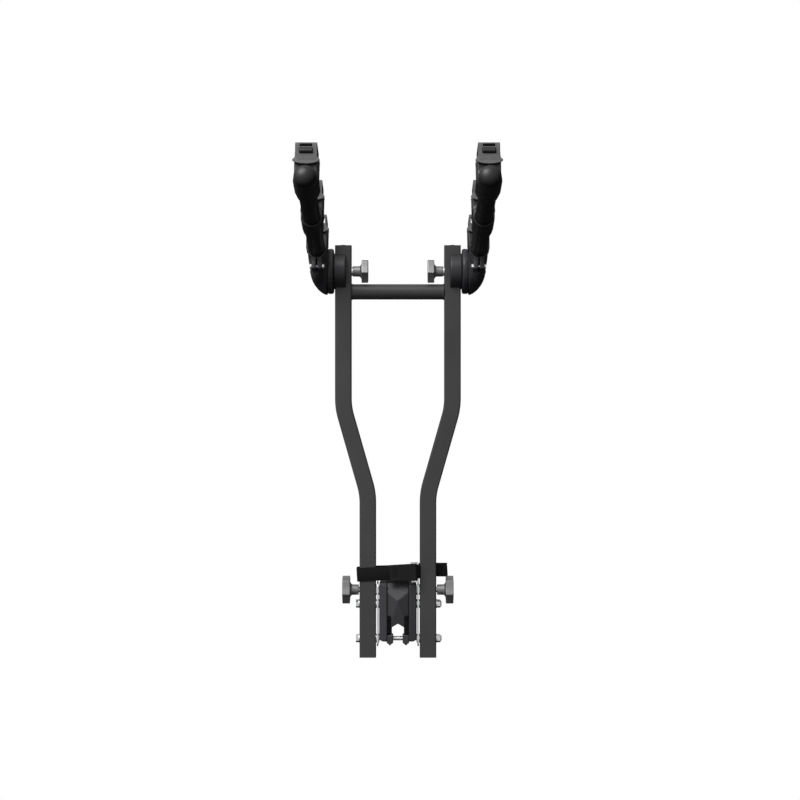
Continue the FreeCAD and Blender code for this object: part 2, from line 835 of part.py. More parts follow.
def make_arm_knobs():
    """Knobs on the inner sides of the uprights, which lock the arms."""
    washer_x = upper_inner_x - arm_washer_thickness
    outer = rod(
        "arm_washer_outer", "X", washer_x, upright_y, pivot_height, arm_washer_radius, arm_washer_thickness
    )
    hole = rod(
        "arm_washer_hole",
        "X",
        washer_x,
        upright_y,
        pivot_height,
        pivot_bolt_radius + running_gap,
        arm_washer_thickness,
    )
    pair("arm_washer", cut("arm_washer", outer, hole))
    piece = knob(
        "arm_knob",
        arm_knob_across,
        arm_knob_thickness,
        arm_knob_stem,
        pivot_bolt_radius + running_gap,
        arm_knob_roll,
    )
    piece.Placement = Placement(Vector(), AXIS_TURNS["X"])
    put(piece, washer_x - arm_knob_stem - arm_knob_thickness, upright_y, pivot_height)
    pair("arm_knob", piece)


def make_arm_tubes():
    start = -arm_reach + tip_cap_length
    outer = rod("arm_outer", "Y", 0, start, arm_rise, arm_tube_radius, arm_tail - start)
    bore = rod("arm_bore", "Y", 0, start, arm_rise, arm_tube_radius - arm_tube_wall, arm_tail - start)
    pair("arm_tube", on_arm(cut("arm", outer, bore)))


def cradle_block(name, seat_radius):
    """A U-shaped cradle about the arm's axis, with two ears for the strap's pin."""
    rear_u = strap_pin_u + ear_radius
    corners = [
        (-post_outer_u, 0),
        (post_outer_u, 0),
        (post_outer_u, cradle_hollow_height - cradle_hollow_radius),
        (rear_u, cradle_hollow_height - ear_radius * 2),
        (rear_u, cradle_post_height),
        (-post_outer_u, cradle_post_height),
    ]
    body = solid_of_outline(name + "_block", "YZ_Plane", 0, corners, cradle_width, symmetric=True)
    half = cradle_width / 2
    ears = rod(name + "_ears", "X", -half, strap_pin_u, cradle_post_height, ear_radius, cradle_width)
    hollow = rod(
        name + "_hollow", "X", -half - 1, 0, cradle_hollow_height, cradle_hollow_radius, cradle_width + 2
    )
    mouth = block(
        name + "_mouth",
        -half - 1,
        -cradle_hollow_radius,
        cradle_hollow_height,
        cradle_width + 2,
        cradle_hollow_radius * 2,
        cradle_post_height,
    )
    slot_half = strap_root_width / 2 + soft_gap
    slot = block(
        name + "_slot",
        -slot_half,
        cradle_hollow_radius - 1,
        cradle_post_height - ear_radius - soft_gap,
        slot_half * 2,
        ear_radius * 2 + cradle_post,
        ear_radius * 3,
    )
    pin_hole = rod(
        name + "_pin_hole",
        "X",
        -half - 1,
        strap_pin_u,
        cradle_post_height,
        strap_pin_radius + running_gap / 4,
        cradle_width + 2,
    )
    seat = rod(name + "_seat", "Y", 0, -post_outer_u - 1, 0, seat_radius, rear_u * 2 + 2)
    return fuse(name + "_blank", body, ears), [hollow, mouth, slot, pin_hole, seat]


def cradle(name, place, sleeve_front, sleeve_rear, domed):
    """A cradle with its sleeve round the arm tube, or only a seat on the socket."""
    if sleeve_front is None:
        blank, tools = cradle_block(name, socket_radius + slip * 2)
        half = cradle_width / 2 + 1
        tools.append(rod(name + "_hub_room", "X", -half, place, -arm_rise, hub_radius + slip * 2, half * 2))
    else:
        blank, tools = cradle_block(name, arm_tube_radius + slip)
        start = -sleeve_front + place
        length = sleeve_front - sleeve_rear
        if domed:
            tube = rod(
                name + "_sleeve", "Y", 0, start + tip_cap_length, 0, sleeve_radius, length - tip_cap_length
            )
            cap = doc.addObject("Part::Ellipsoid", name + "_cap")
            cap.Angle1 = -90
            bind(cap, "Radius1", tip_cap_length)
            bind(cap, "Radius2", sleeve_radius)
            bind(cap, "Radius3", sleeve_radius)
            cap.Placement = Placement(Vector(), Rotation(Vector(1, 0, 0), 90))
            put(cap, 0, start + tip_cap_length, 0)
            blank = fuse(name + "_whole", blank, tube, cap)
            tools[-1] = rod(
                name + "_bore", "Y", 0, start + tip_cap_length, 0, arm_tube_radius + slip, length * 2
            )
        else:
            tube = rod(name + "_sleeve", "Y", 0, start, 0, sleeve_radius, length)
            tools[-1] = rod(name + "_bore", "Y", 0, start - 1, 0, arm_tube_radius + slip, length + 2)
            blank = fuse(name + "_whole", blank, tube)
    return on_arm(cut(name, blank, *tools), -place, arm_rise)


def cradle_pad(name, place):
    """The rubber lining of a cradle's hollow."""
    inner = cradle_hollow_radius - pad_thickness
    half = pad_width / 2
    outer = rod(
        name + "_outer", "X", -half, 0, cradle_hollow_height, cradle_hollow_radius - slip, pad_width
    )
    skirt_height = cradle_post_height - cradle_hollow_height
    skirt = block(
        name + "_skirt",
        -half,
        -cradle_hollow_radius + slip,
        cradle_hollow_height,
        pad_width,
        (cradle_hollow_radius - slip) * 2,
        skirt_height,
    )
    bore = rod(name + "_bore", "X", -half - 1, 0, cradle_hollow_height, inner, pad_width + 2)
    mouth = block(
        name + "_mouth",
        -half - 1,
        -inner,
        cradle_hollow_height,
        pad_width + 2,
        inner * 2,
        cradle_hollow_radius * 2,
    )
    lid_height = cradle_hollow_radius * 2
    lid = block(
        name + "_lid",
        -half - 1,
        -cradle_hollow_radius - 1,
        cradle_post_height,
        pad_width + 2,
        cradle_hollow_radius * 2 + 2,
        lid_height,
    )
    return on_arm(cut(name, fuse(name + "_whole", outer, skirt), bore, mouth, lid), -place, arm_rise)


def strap(name, place, latch_at, open_rung):
    """A rubber ladder strap: eye, root, band over the hollow, rungs and pull tab.

    A strap that is hooked one rung lower lies lower and leaves its wide upper rung open.
    """
    body = new_body(name + "_band")
    top = strap_top_height - hooked_drop if open_rung else strap_top_height
    top_inner = top - strap_thickness
    root_outer = strap_pin_u + strap_thickness / 2
    root_inner = strap_pin_u - strap_thickness / 2
    root_sketch = new_sketch(body, name + "_root", "YZ_Plane")
    outline(
        root_sketch,
        [
            (root_inner, cradle_post_height),
            (root_outer, cradle_post_height),
            (root_outer, top_inner),
            (root_inner, top_inner),
        ],
    )
    pad(body, root_sketch, strap_root_width, symmetric=True)
    band_low = cradle_post_height + ear_radius + strap_gap * 1.5
    bend_in = strap_bend - strap_thickness
    band_sketch = new_sketch(body, name + "_band_outline", "YZ_Plane")
    outline(
        band_sketch,
        [
            (root_inner, band_low),
            (root_outer, band_low),
            (root_outer, top - strap_bend, strap_bend, 1),
            (root_outer - strap_bend, top),
            (-face_outer_u + strap_bend, top, strap_bend, 1),
            (-face_outer_u, top - strap_bend),
            (-face_outer_u, tab_top_height),
            (-face_inner_u, tab_top_height),
            (-face_inner_u, top_inner - bend_in, bend_in, -1),
            (-face_inner_u + bend_in, top_inner),
            (root_inner - bend_in, top_inner, bend_in, -1),
            (root_inner, top_inner - bend_in),
        ],
    )
    pad(body, band_sketch, strap_width, symmetric=True)
    tab_sketch = new_sketch(body, name + "_tab", "YZ_Plane")
    tab_middle = (tab_top_height + tab_bottom_height) / 2
    outline(
        tab_sketch,
        [
            (-face_inner_u, tab_top_height),
            (-face_outer_u, tab_top_height),
            (-face_outer_u - tab_flare / 4, tab_middle),
            (-face_outer_u - tab_flare, tab_bottom_height),
            (-face_inner_u - tab_flare, tab_bottom_height),
            (-face_inner_u, tab_middle),
        ],
    )
    pad(body, tab_sketch, tab_width, symmetric=True)
    rungs = new_sketch(body, name + "_rungs", "XZ_Plane", face_inner_u - strap_bend)
    half = latch_width / 2 + soft_gap
    wide = wide_rung_width / 2
    narrow = rung_width / 2
    rectangle(rungs, -half, latch_at - soft_gap, half, latch_at + latch_height + soft_gap)
    if open_rung:
        rectangle(rungs, -wide, latch_place - soft_gap, wide, latch_place + latch_height + soft_gap)
    else:
        rectangle(rungs, -narrow, rung_place, narrow, rung_place + rung_height)
    slots = body.newObject("PartDesign::Pocket", name + "_rung_cut")
    slots.Profile = rungs
    slots.Reversed = True
    bind(slots, "Length", strap_bend + strap_thickness + tab_flare)
    top_rungs = new_sketch(body, name + "_top_rungs", "XY_Plane", top + 1)
    if open_rung:
        rectangle(top_rungs, -wide, -cradle_hollow_radius / 2, wide, cradle_hollow_radius - 1)
    else:
        for step in (-1, 0, 1):
            middle = step * (rung_height + strap_thickness) * 1.6
            low, high = middle - rung_height / 2, middle + rung_height / 2
            rectangle(top_rungs, -narrow, low, narrow, high)
    top_slots = body.newObject("PartDesign::Pocket", name + "_top_cut")
    top_slots.Profile = top_rungs
    bind(top_slots, "Length", strap_thickness + 2)
    eye = rod(
        name + "_eye",
        "X",
        -strap_root_width / 2,
        strap_pin_u,
        cradle_post_height,
        eye_radius,
        strap_root_width,
    )
    hole = rod(
        name + "_eye_hole",
        "X",
        -strap_root_width / 2 - 1,
        strap_pin_u,
        cradle_post_height,
        strap_pin_radius + running_gap,
        strap_root_width + 2,
    )
    return on_arm(cut(name, fuse(name + "_whole", body, eye), hole), -place, arm_rise)


def strap_latch(name, place, latch_at):
    """The moulded catch that fills one rung of the strap."""
    half = latch_width / 2
    low = -face_outer_u - latch_stand
    piece = block(
        name + "_block", -half, low, latch_at, latch_width, latch_stand + strap_thickness, latch_height
    )
    piece = round_edges(name, piece, strap_gap * 4, lambda edge: straight_along(edge, 1))
    return on_arm(piece, -place, arm_rise)


def make_cradles():
    """Three cradles with their linings, straps and catches on each arm."""
    inner = inner_cradle_place
    middle = inner + cradle_pitch
    tip = middle + cradle_pitch
    middle_front = middle_sleeve_front
    tip_rear = arm_reach - tip_sleeve_length
    places = (
        ("tip", tip, arm_reach, tip_rear, True),
        ("middle", middle, middle_front, middle_front - middle_sleeve_length, False),
        ("inner", inner, None, None, False),
    )
    pins, pads = [], []
    for word, place, front, rear, domed in places:
        pair("cradle_" + word, cradle("cradle_" + word, place, front, rear, domed))
        open_rung = word == "inner"
        latch_at = lower_latch_place if open_rung else latch_place
        pair("strap_" + word, strap("strap_" + word, place, latch_at, open_rung))
        pair("latch_" + word, strap_latch("latch_" + word, place, latch_at))
        pads.append(cradle_pad("pad_" + word, place))
        length = cradle_width + 1
        pin = rod(
            "pin_" + word, "X", -length / 2, strap_pin_u, cradle_post_height, strap_pin_radius, length
        )
        pins.append(on_arm(group("pin_place_" + word, pin), -place, arm_rise))
    pair("cradle_pads", group("pads", *pads))
    pair("strap_pins", group("pins", *pins))


def make_cover():
    """The middle of the coupling's housing: front, top and rear walls and two feet."""
    front, rear, wall = -hood_front, hood_rear, hood_wall
    body = solid_of_outline(
        "cover_body",
        "YZ_Plane",
        0,
        [
            (front + cover_chin_set, -hood_bottom),
            (front, -hood_bottom + cover_chin_rise),
            (front, cover_top - cover_brow_drop),
            (front + cover_chin_set, cover_top - cover_temple_drop),
            (front + cover_crown_set, cover_top - cover_crown_drop),
            (front + cover_crown_reach, cover_top),
            (rear - cover_rear_bevel, cover_top),
            (rear, cover_top - cover_rear_bevel),
            (rear, -hood_bottom),
        ],
        cover_half_width * 2,
        symmetric=True,
    )
    inside = new_sketch(body, "cover_inside", "YZ_Plane")
    outline(
        inside,
        [
            (front + cover_chin_set + wall, -hood_bottom - 1),
            (front + wall, -hood_bottom + cover_chin_rise),
            (front + wall, cover_top - cover_brow_drop),
            (front + cover_chin_set + wall, cover_top - cover_temple_drop - wall / 2),
            (front + cover_crown_set + wall, cover_top - cover_crown_drop - wall),
            (front + cover_crown_reach + wall / 2, cover_top - wall),
            (rear - cover_rear_bevel - wall / 2, cover_top - wall),
            (rear - wall, cover_top - cover_rear_bevel - wall / 2),
            (rear - wall, -hood_bottom - 1),
        ],
    )
    pocket_through(body, inside)
    foot_corners = [
        (notch_half_width, -slot_bottom),
        (cover_half_width, -slot_bottom),
        (cover_half_width, -hood_bottom),
        (cover_half_width - 2, -hood_bottom),
        ((cover_half_width + notch_half_width) / 2 + 0.5, -foot_tip),
        (notch_half_width + 2, -hood_bottom),
        (notch_half_width, -hood_bottom + 2),
    ]
    foot = solid_of_outline("cover_foot", "XZ_Plane", -front - 3.5 - foot_depth, foot_corners, foot_depth)
    solid = fuse("cover_solid", body, foot, mirrored("cover_foot_image", foot))
    depth = wall * 4
    window = hexagon("cover_window", "Y", 0, front - 1, -window_drop, window_radius, depth)
    window.Placement = Placement(
        Vector(), Rotation(Vector(1, 0, 0), -90).multiply(Rotation(Vector(0, 0, 1), 30))
    )
    put(window, 0, front - 1, -window_drop)
    notch = block(
        "cover_notch",
        -notch_half_width,
        front - 1,
        -foot_tip - 1,
        notch_half_width * 2,
        depth,
        foot_tip - window_drop,
    )
    doorway = block(
        "cover_doorway",
        -slot_inner,
        rear - wall * 2,
        -hood_bottom - 1,
        slot_inner * 2,
        wall * 3,
        hood_bottom - slot_top,
    )
    tools = [window, notch, doorway]
    for side in (-1, 1):
        left = slot_inner if side > 0 else -cover_half_width - 1
        tools.append(
            block(
                "cover_slot",
                left,
                front - 1,
                -slot_bottom,
                cover_half_width + 1 - slot_inner,
                depth,
                slot_bottom + slot_top,
            )
        )
    tools.append(
        rod(
            "cover_bolt_hole",
            "X",
            -cover_half_width - 1,
            upright_y,
            -lower_bolt_drop,
            bolt_radius + slip,
            cover_half_width * 2 + 2,
        )
    )
    node("hood_cover", cut("cover", solid, *tools))


def make_cheeks():
    """The housing's side shells, open towards the middle and at the bottom."""
    start = cover_half_width + slip
    front, rear, wall = -hood_front + 2, hood_rear - 1, hood_wall
    outer = block(
        "cheek_outer",
        start,
        front,
        -hood_bottom,
        hood_half_width - start,
        rear - front,
        cheek_top + hood_bottom,
    )

    def outer_corner(edge):
        middle = edge.CenterOfMass
        outside = abs(middle.x - hood_half_width.value) < 0.01
        upright = straight_along(edge, 2) or straight_along(edge, 1)
        return outside and upright and middle.z > -hood_bottom.value + 1

    outer = round_edges("cheek_round", outer, cheek_rounding, outer_corner)
    inside = block(
        "cheek_inside",
        start - 1,
        front + wall,
        -hood_bottom - 1,
        hood_half_width - wall - start + 1,
        rear - front - wall * 2,
        cheek_top + hood_bottom + 1 - wall,
    )
    tools = [inside]
    holes = (
        (clamp_height, clamp_screw_radius + slip * 2),
        (upper_bolt_height, bolt_radius + slip),
        (-lower_bolt_drop, bolt_radius + slip),
    )
    for index, (height, radius) in enumerate(holes):
        name = "cheek_hole_%d" % index
        tools.append(rod(name, "X", start, upright_y, height, radius, hood_half_width))
    pair("hood_cheek", cut("cheek", outer, *tools))


def make_ball_seat():
    """The metal block whose hollow rests on top of the tow ball."""
    depth = seat_depth + hood_rear - hood_wall - soft_gap
    blank = block(
        "seat_blank",
        -cover_half_width,
        -seat_depth,
        seat_bottom,
        cover_half_width * 2,
        depth,
        seat_top - seat_bottom,
    )
    socket = ball("seat_socket", 0, 0, 0, ball_radius + seat_play)
    hole = rod(
        "seat_hole",
        "X",
        -cover_half_width - 1,
        upright_y,
        upper_bolt_height,
        bolt_radius + running_gap,
        cover_half_width * 2 + 2,
    )
    node("ball_seat", cut("seat", blank, socket, hole))


def make_jaws():
    """Steel plates that the clamp screws press against the sides of the ball."""
    blank = block(
        "jaw_blank",
        jaw_inner,
        -jaw_front,
        -jaw_bottom,
        jaw_thickness,
        jaw_front + jaw_rear,
        jaw_top + jaw_bottom,
    )
    socket = ball("jaw_cup", 0, 0, 0, ball_radius + seat_play)
    bolt_hole = rod(
        "jaw_bolt_hole",
        "X",
        jaw_inner - 1,
        upright_y,
        upper_bolt_height,
        bolt_radius + running_gap,
        jaw_thickness + 2,
    )
    screw_hole = rod(
        "jaw_screw_hole",
        "X",
        jaw_inner + jaw_thickness - jaw_socket_depth,
        upright_y,
        clamp_height,
        clamp_screw_radius + running_gap,
        jaw_socket_depth + 1,
    )
    pair("ball_jaw", cut("jaw", blank, socket, bolt_hole, screw_hole))


def make_clamp_screws():
    """The lower knobs with their screws, and the weld nuts that they run in."""
    tip_x = jaw_inner + jaw_thickness - jaw_socket_depth + running_gap
    stem_x = lower_outer_x + clamp_knob_stand
    end_x = stem_x + clamp_knob_stem + clamp_knob_thickness / 2 - 1
    screw = rod("clamp_rod", "X", tip_x, upright_y, clamp_height, clamp_screw_radius, end_x - tip_x)
    pair("clamp_screw", group("clamp_screw", screw))
    piece = knob(
        "clamp_knob",
        clamp_knob_across,
        clamp_knob_thickness,
        clamp_knob_stem,
        clamp_screw_radius + running_gap / 2,
        clamp_knob_roll,
    )
    piece.Placement = Placement(Vector(), Rotation(Vector(0, 1, 0), -90))
    put(piece, stem_x + clamp_knob_stem + clamp_knob_thickness, upright_y, clamp_height)
    pair("clamp_knob", piece)
    corner = clamp_nut_across / 2 / cosine(as_size(30))
    nut_x = hood_half_width + slip
    width = lower_inner_x - nut_x
    nut = hexagon("weld_nut_outer", "X", nut_x, upright_y, clamp_height, corner, width)
    hole = rod(
        "weld_nut_hole", "X", nut_x, upright_y, clamp_height, clamp_screw_radius + running_gap, width
    )
    nut = cut("weld_nut", nut, hole)
    node("clamp_nuts", group("weld_nuts", nut, mirrored("weld_nut_image", nut)))


def make_side_plates():
    """Zinc-plated plates between the housing and the uprights."""
    start = plate_start_x
    plate = block(
        "plate_blank",
        start,
        -plate_front,
        -plate_bottom,
        plate_thickness,
        plate_front - plate_rear + plate_rear * 2,
        plate_top + plate_bottom,
    )
    plate = round_edges("plate_round", plate, washer_radius, lambda edge: straight_along(edge, 0))
    corner = clamp_nut_across / 2 / cosine(as_size(30))
    holes = (
        (clamp_height, corner + soft_gap * 2),
        (upper_bolt_height, bolt_radius + slip),
        (-lower_bolt_drop, bolt_radius + slip),
    )
    tools = []
    for index, (height, radius) in enumerate(holes):
        name = "plate_hole_%d" % index
        tools.append(rod(name, "X", start - 1, upright_y, height, radius, plate_thickness + 2))
    plate = cut("plate", plate, *tools)
    node("side_plates", group("plates", plate, mirrored("plate_image", plate)))


def ring_on_bolt(name, x, height, thickness):
    """A washer on one of the through bolts."""
    outer = rod(name + "_outer", "X", x, upright_y, height, washer_radius, thickness)
    hole = rod(name + "_hole", "X", x, upright_y, height, bolt_radius + running_gap, thickness)
    return cut(name, outer, hole)


def make_through_bolts():
    """Two long bolts through both uprights: heads on the left, lock nuts on the right."""
    corner = bolt_across / 2 / cosine(as_size(30))
    bolts, nuts, washers = [], [], []
    seat_x = lower_outer_x + washer_thickness
    for word, height in (("upper", upper_bolt_height), ("lower", -lower_bolt_drop)):
        shank_end = seat_x + lock_nut_height - 2
        shank = rod("shank_" + word, "X", -seat_x, upright_y, height, bolt_radius, seat_x + shank_end)
        head = hexagon(
            "head_" + word, "X", -seat_x - bolt_head_height, upright_y, height, corner, bolt_head_height
        )
        bolts.append(fuse("bolt_" + word, shank, head))
        body = hexagon("nut_body_" + word, "X", seat_x, upright_y, height, corner, lock_nut_height - 2)
        crown = cone(
            "nut_crown_" + word,
            "X",
            seat_x + lock_nut_height - 2,
            upright_y,
            height,
            bolt_across / 2 - 0.3,
            bolt_radius,
            2,
        )
        bore = rod(
            "nut_bore_" + word,
            "X",
            seat_x,
            upright_y,
            height,
            bolt_radius + running_gap / 4,
            lock_nut_height - 2,
        )
        nuts.append(cut("nut_" + word, fuse("nut_solid_" + word, body, crown), bore))
        for place, thickness in (
            (hood_half_width, spacer_thickness),
            (plate_start_x + plate_thickness, spacer_thickness),
            (lower_outer_x, washer_thickness),
        ):
            ring = ring_on_bolt("washer_" + word, place, height, thickness)
            washers += [ring, mirrored("washer_image", ring)]
    node("through_bolts", group("bolts", *bolts))
    node("lock_nuts", group("nuts", *nuts))
    node("bolt_washers", group("washers", *washers))


def on_strap(obj):
    """Tilt a piece of the webbing strap about the middle of the rack."""
    obj.Placement = Placement(Vector(), Rotation(Vector(0, -1, 0), 1))
    bind(obj, "Placement.Rotation.Angle", webbing_tilt)
    return put(obj, 0, 0, webbing_height)


def make_webbing():
    """A flat loop round the left upright and a tail behind the right one."""
    half = webbing_width / 2
    thick = webbing_thickness
    left = -(lower_outer_x + webbing_side_gap)
    front = tube_front_y - soft_gap
    back = tube_rear_y + soft_gap
    inner_x = -(lower_inner_x - 2)
    right = webbing_right_end
    step = thick * 2
    loop = new_body("webbing_loop")
    outer = new_sketch(loop, "webbing_outer", "XY_Plane", -half)
    radius = thick * 2
    outline(
        outer,
        [
            (left - thick, front - thick + radius, radius, 1),
            (left - thick + radius, front - thick),
            (right, front - thick),
            (right, front + step),
            (inner_x, back + thick),
            (left - thick + radius, back + thick, radius, 1),
            (left - thick, back + thick - radius),
        ],
    )
    pad(loop, outer, webbing_width)
    inner = new_sketch(loop, "webbing_inner", "XY_Plane", -half)
    outline(
        inner,
        [
            (left, front + thick, thick, 1),
            (left + thick, front),
            (right - thick, front),
            (right - thick, front + step - thick * 1.1),
            (inner_x, back),
            (left + thick, back, thick, 1),
            (left, back - thick),
        ],
    )
    pocket_through(loop, inner)
    tail_x = right + soft_gap
    tail_front = front - thick - slip
    end_x = lower_outer_x + tail_reach
    tail = solid_of_outline(
        "webbing_tail",
        "XY_Plane",
        -half,
        [
            (lever_pin_place, tail_front - thick),
            (tail_x + thick, tail_front - thick),
            (tail_x + thick, back),
            (end_x - tail_reach + 1, back),
            (end_x - tail_reach + 1, back + thick - tail_fold),
            (end_x, back + thick - tail_fold),
            (end_x, back + thick),
            (tail_x, back + thick),
            (tail_x, tail_front),
            (lever_pin_place, tail_front),
        ],
        webbing_width,
    )
    node("webbing_strap", on_strap(group("webbing", loop, tail)))


def make_buckle():
    """Cam buckle: a sheet-metal frame with a riveted pin, and a lever with a broad pad."""
    thick = webbing_thickness
    plate_y = tube_front_y - soft_gap * 2 - thick * 2 - slip - buckle_sheet
    half = buckle_height / 2
    depth = buckle_flange
    floor_half = lever_height / 2 - buckle_sheet / 2
    ear_x = lever_pin_place - depth * 0.8
    floor_piece = block(
        "buckle_floor",
        -buckle_left,
        plate_y,
        -floor_half,
        buckle_left + buckle_right,
        buckle_sheet,
        floor_half * 2,
    )
    ears = block("buckle_ears", ear_x, plate_y, -half, buckle_right - ear_x, buckle_sheet, buckle_height)
    pieces = [floor_piece, ears]
    for side in (-1, 1):
        low = half - buckle_sheet if side > 0 else -half
        pieces.append(
            block(
                "buckle_flange",
                ear_x,
                plate_y - depth,
                low,
                buckle_right - ear_x,
                depth + buckle_sheet,
                buckle_sheet,
            )
        )
    pin_y = plate_y - depth / 2 - slip
    pin = rod("buckle_pin", "Z", lever_pin_place, pin_y, -half, lever_pin_radius, buckle_height)
    node("buckle_frame", on_strap(fuse("frame", *pieces, pin)))
    tall = lever_height
    cam_radius = depth / 2 - slip
    cam = rod("lever_cam", "Z", lever_pin_place, pin_y, -tall / 2, cam_radius, tall)
    grip_y = pin_y + cam_radius - lever_thickness
    grip = block(
        "lever_grip", lever_pin_place - lever_length, grip_y, -tall / 2, lever_length, lever_thickness, tall
    )
    grip = round_edges("lever_round", grip, lever_pin_radius, lambda edge: edge.CenterOfMass.x < 0)
    hole = rod("lever_hole", "Z", lever_pin_place, pin_y, -tall, lever_pin_radius + running_gap, tall * 2)
    node("buckle_lever", on_strap(cut("lever", fuse("lever_solid", cam, grip), hole)))


def check_model():
    """Stop if any object of the document failed, or any sub-part is not sound."""
    for obj in doc.Objects:
        if "Invalid" in obj.State or "Error" in obj.State:
            raise RuntimeError("failed object: %s (%s)" % (obj.Label, obj.State))
    for name, obj in nodes.items():
        shape = obj.Shape
        if shape.isNull() or not shape.isValid() or not shape.Solids:
            raise RuntimeError("unsound sub-part: " + name)


def export_model():
    """Write one STEP file for each sub-part."""
    os.makedirs("parts", exist_ok=True)
    for name, obj in nodes.items():
        obj.Shape.exportStep("parts/%s.step" % name)


make_uprights()
make_tube_plugs()
make_crossbar()
make_saddle_rings()
make_friction_discs()
make_hubs()
make_pivot_bolts()
make_arm_knobs()
make_arm_tubes()
make_cradles()
make_cover()
make_cheeks()
make_ball_seat()
make_jaws()
make_clamp_screws()
make_side_plates()
make_through_bolts()
make_webbing()
make_buckle()
doc.recompute()
check_model()
export_model()
for name, obj in nodes.items():
    print("%-20s solids %d volume %.1f" % (name, len(obj.Shape.Solids), obj.Shape.Volume))
print("sub-parts:", len(nodes))
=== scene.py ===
"""Looks of a tow-ball bicycle rack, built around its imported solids.

The rack is two bent uprights with a crossbar, a folding arm on each side with
three strapped cradles, and a clamping coupling at the foot. Everything is in
metres in the frame of the solids; the forms below are worked out in
millimetres and scaled when they become meshes.
"""

from __future__ import annotations

import json
import logging
import math
from dataclasses import dataclass, field
from enum import Enum
from typing import Callable, Sequence, Union

import bpy
import numpy as np
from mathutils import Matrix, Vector


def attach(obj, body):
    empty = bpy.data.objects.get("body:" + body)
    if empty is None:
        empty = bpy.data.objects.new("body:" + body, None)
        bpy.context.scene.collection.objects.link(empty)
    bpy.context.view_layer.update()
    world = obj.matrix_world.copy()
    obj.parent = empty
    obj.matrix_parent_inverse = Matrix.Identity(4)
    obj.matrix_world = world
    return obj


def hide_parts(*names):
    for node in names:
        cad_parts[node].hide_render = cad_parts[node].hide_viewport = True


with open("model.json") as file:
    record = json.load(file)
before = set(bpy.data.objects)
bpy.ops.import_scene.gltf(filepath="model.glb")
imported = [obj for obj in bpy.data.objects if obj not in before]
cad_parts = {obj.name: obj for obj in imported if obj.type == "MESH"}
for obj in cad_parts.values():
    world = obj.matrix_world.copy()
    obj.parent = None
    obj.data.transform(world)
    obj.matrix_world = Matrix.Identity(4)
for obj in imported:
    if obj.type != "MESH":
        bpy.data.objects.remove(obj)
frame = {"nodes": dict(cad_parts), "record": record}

LOG = logging.getLogger("bike_rack")
Array = np.ndarray
Numbers = Sequence[float]
Corners = Sequence[Sequence[float]]
Node = bpy.types.Node
Output = Union[str, int]
Placing = Callable[[Array], Array]
MM = 0.001
NEAR_ZERO = 1e-7
NOISE_LOW = 0.3
NOISE_HIGH = 0.7


class Side(Enum):
    """The two mirrored halves of the rack."""

    RIGHT = 1
    LEFT = -1

    @property
    def word(self) -> str:
        """The ending that node and body names carry on this side."""
        return self.name.lower()


class Axis(Enum):
    """An axis of a form: its own index, then those of the two others."""

    X = (0, 1, 2)
    Y = (1, 0, 2)
    Z = (2, 0, 1)


# Solids given by their distance


def soft_least(a: Array, b: Array, blend: float) -> Array:
    """The smaller of two distances, rounded off where they are nearly equal.

    Formula: with h the share of a between 0 and 1, the value is
    h a + (1 - h) b less blend times h (1 - h).

    Args:
        a: First distances.
        b: Second distances.
        blend: Width of the rounded zone in millimetres; zero for a sharp edge.

    Returns:
        The blended distances.
    """
    if blend <= 0.0:
        return np.minimum(a, b)
    h = np.clip(0.5 + 0.5 * (b - a) / blend, 0.0, 1.0)
    return b + (a - b) * h - blend * h * (1.0 - h)


@dataclass(frozen=True)
class Form:
    """A solid given by its signed distance, negative inside, in millimetres."""

    distance: Callable[[Array], Array]

    def joined(self, other: "Form", blend: float = 0.0) -> "Form":
        """Both solids together, with a fillet where they meet."""
        return Form(lambda p: soft_least(self.distance(p), other.distance(p), blend))

    def carved(self, other: "Form", blend: float = 0.0) -> "Form":
        """This solid less the other one, with a rounded brink."""
        return Form(lambda p: -soft_least(-self.distance(p), other.distance(p), blend))

    def kept(self, other: "Form", blend: float = 0.0) -> "Form":
        """The part of this solid that is inside the other one."""
        return Form(lambda p: -soft_least(-self.distance(p), -other.distance(p), blend))

    def swollen(self, amount: float) -> "Form":
        """The solid grown outwards by a distance, or shrunk by a negative one."""
        return Form(lambda p: self.distance(p) - amount)


def slab(low: Numbers, high: Numbers, rounding: float = 0.0) -> Form:
    """A box between two corners with rounded edges.

    Formula: the length of the part of |p - centre| that is outside the inner
    box, plus the largest inner depth, less the rounding.

    Args:
        low: Lowest corner.
        high: Highest corner.
        rounding: Radius of all edges.

    Returns:
        The form.
    """
    middle = (np.array(low, float) + np.array(high, float)) / 2.0
    half = (np.array(high, float) - np.array(low, float)) / 2.0 - rounding

    def distance(p: Array) -> Array:
        """The signed distance of every point.

        Args:
            p: Points, one row each.

        Returns:
            One distance for each point.
        """
        q = np.abs(p - middle) - half
        outside = np.linalg.norm(np.maximum(q, 0.0), axis=1)
        return outside + np.minimum(q.max(axis=1), 0.0) - rounding

    return Form(distance)


def rod(axis: Axis, at: Numbers, start: float, end: float, radius: float, rounding: float = 0.0) -> Form:
    """A cylinder along an axis with rounded rims.

    Formula: the distance to a rectangle in the plane of length and radius.

    Args:
        axis: Direction of the cylinder.
        at: The two coordinates of its middle line.
        start: Where it begins along the axis.
        end: Where it ends along the axis.
        radius: Its radius.
        rounding: Radius of its rims.

    Returns:
        The form.
    """
    along, first, second = axis.value

    def distance(p: Array) -> Array:
        """The signed distance of every point.

        Args:
            p: Points, one row each.

        Returns:
            One distance for each point.
        """
        radial = np.hypot(p[:, first] - at[0], p[:, second] - at[1]) - radius + rounding
        axial = np.abs(p[:, along] - (start + end) / 2.0) - (end - start) / 2.0 + rounding
        outside = np.hypot(np.maximum(radial, 0.0), np.maximum(axial, 0.0))
        return outside + np.minimum(np.maximum(radial, axial), 0.0) - rounding

    return Form(distance)


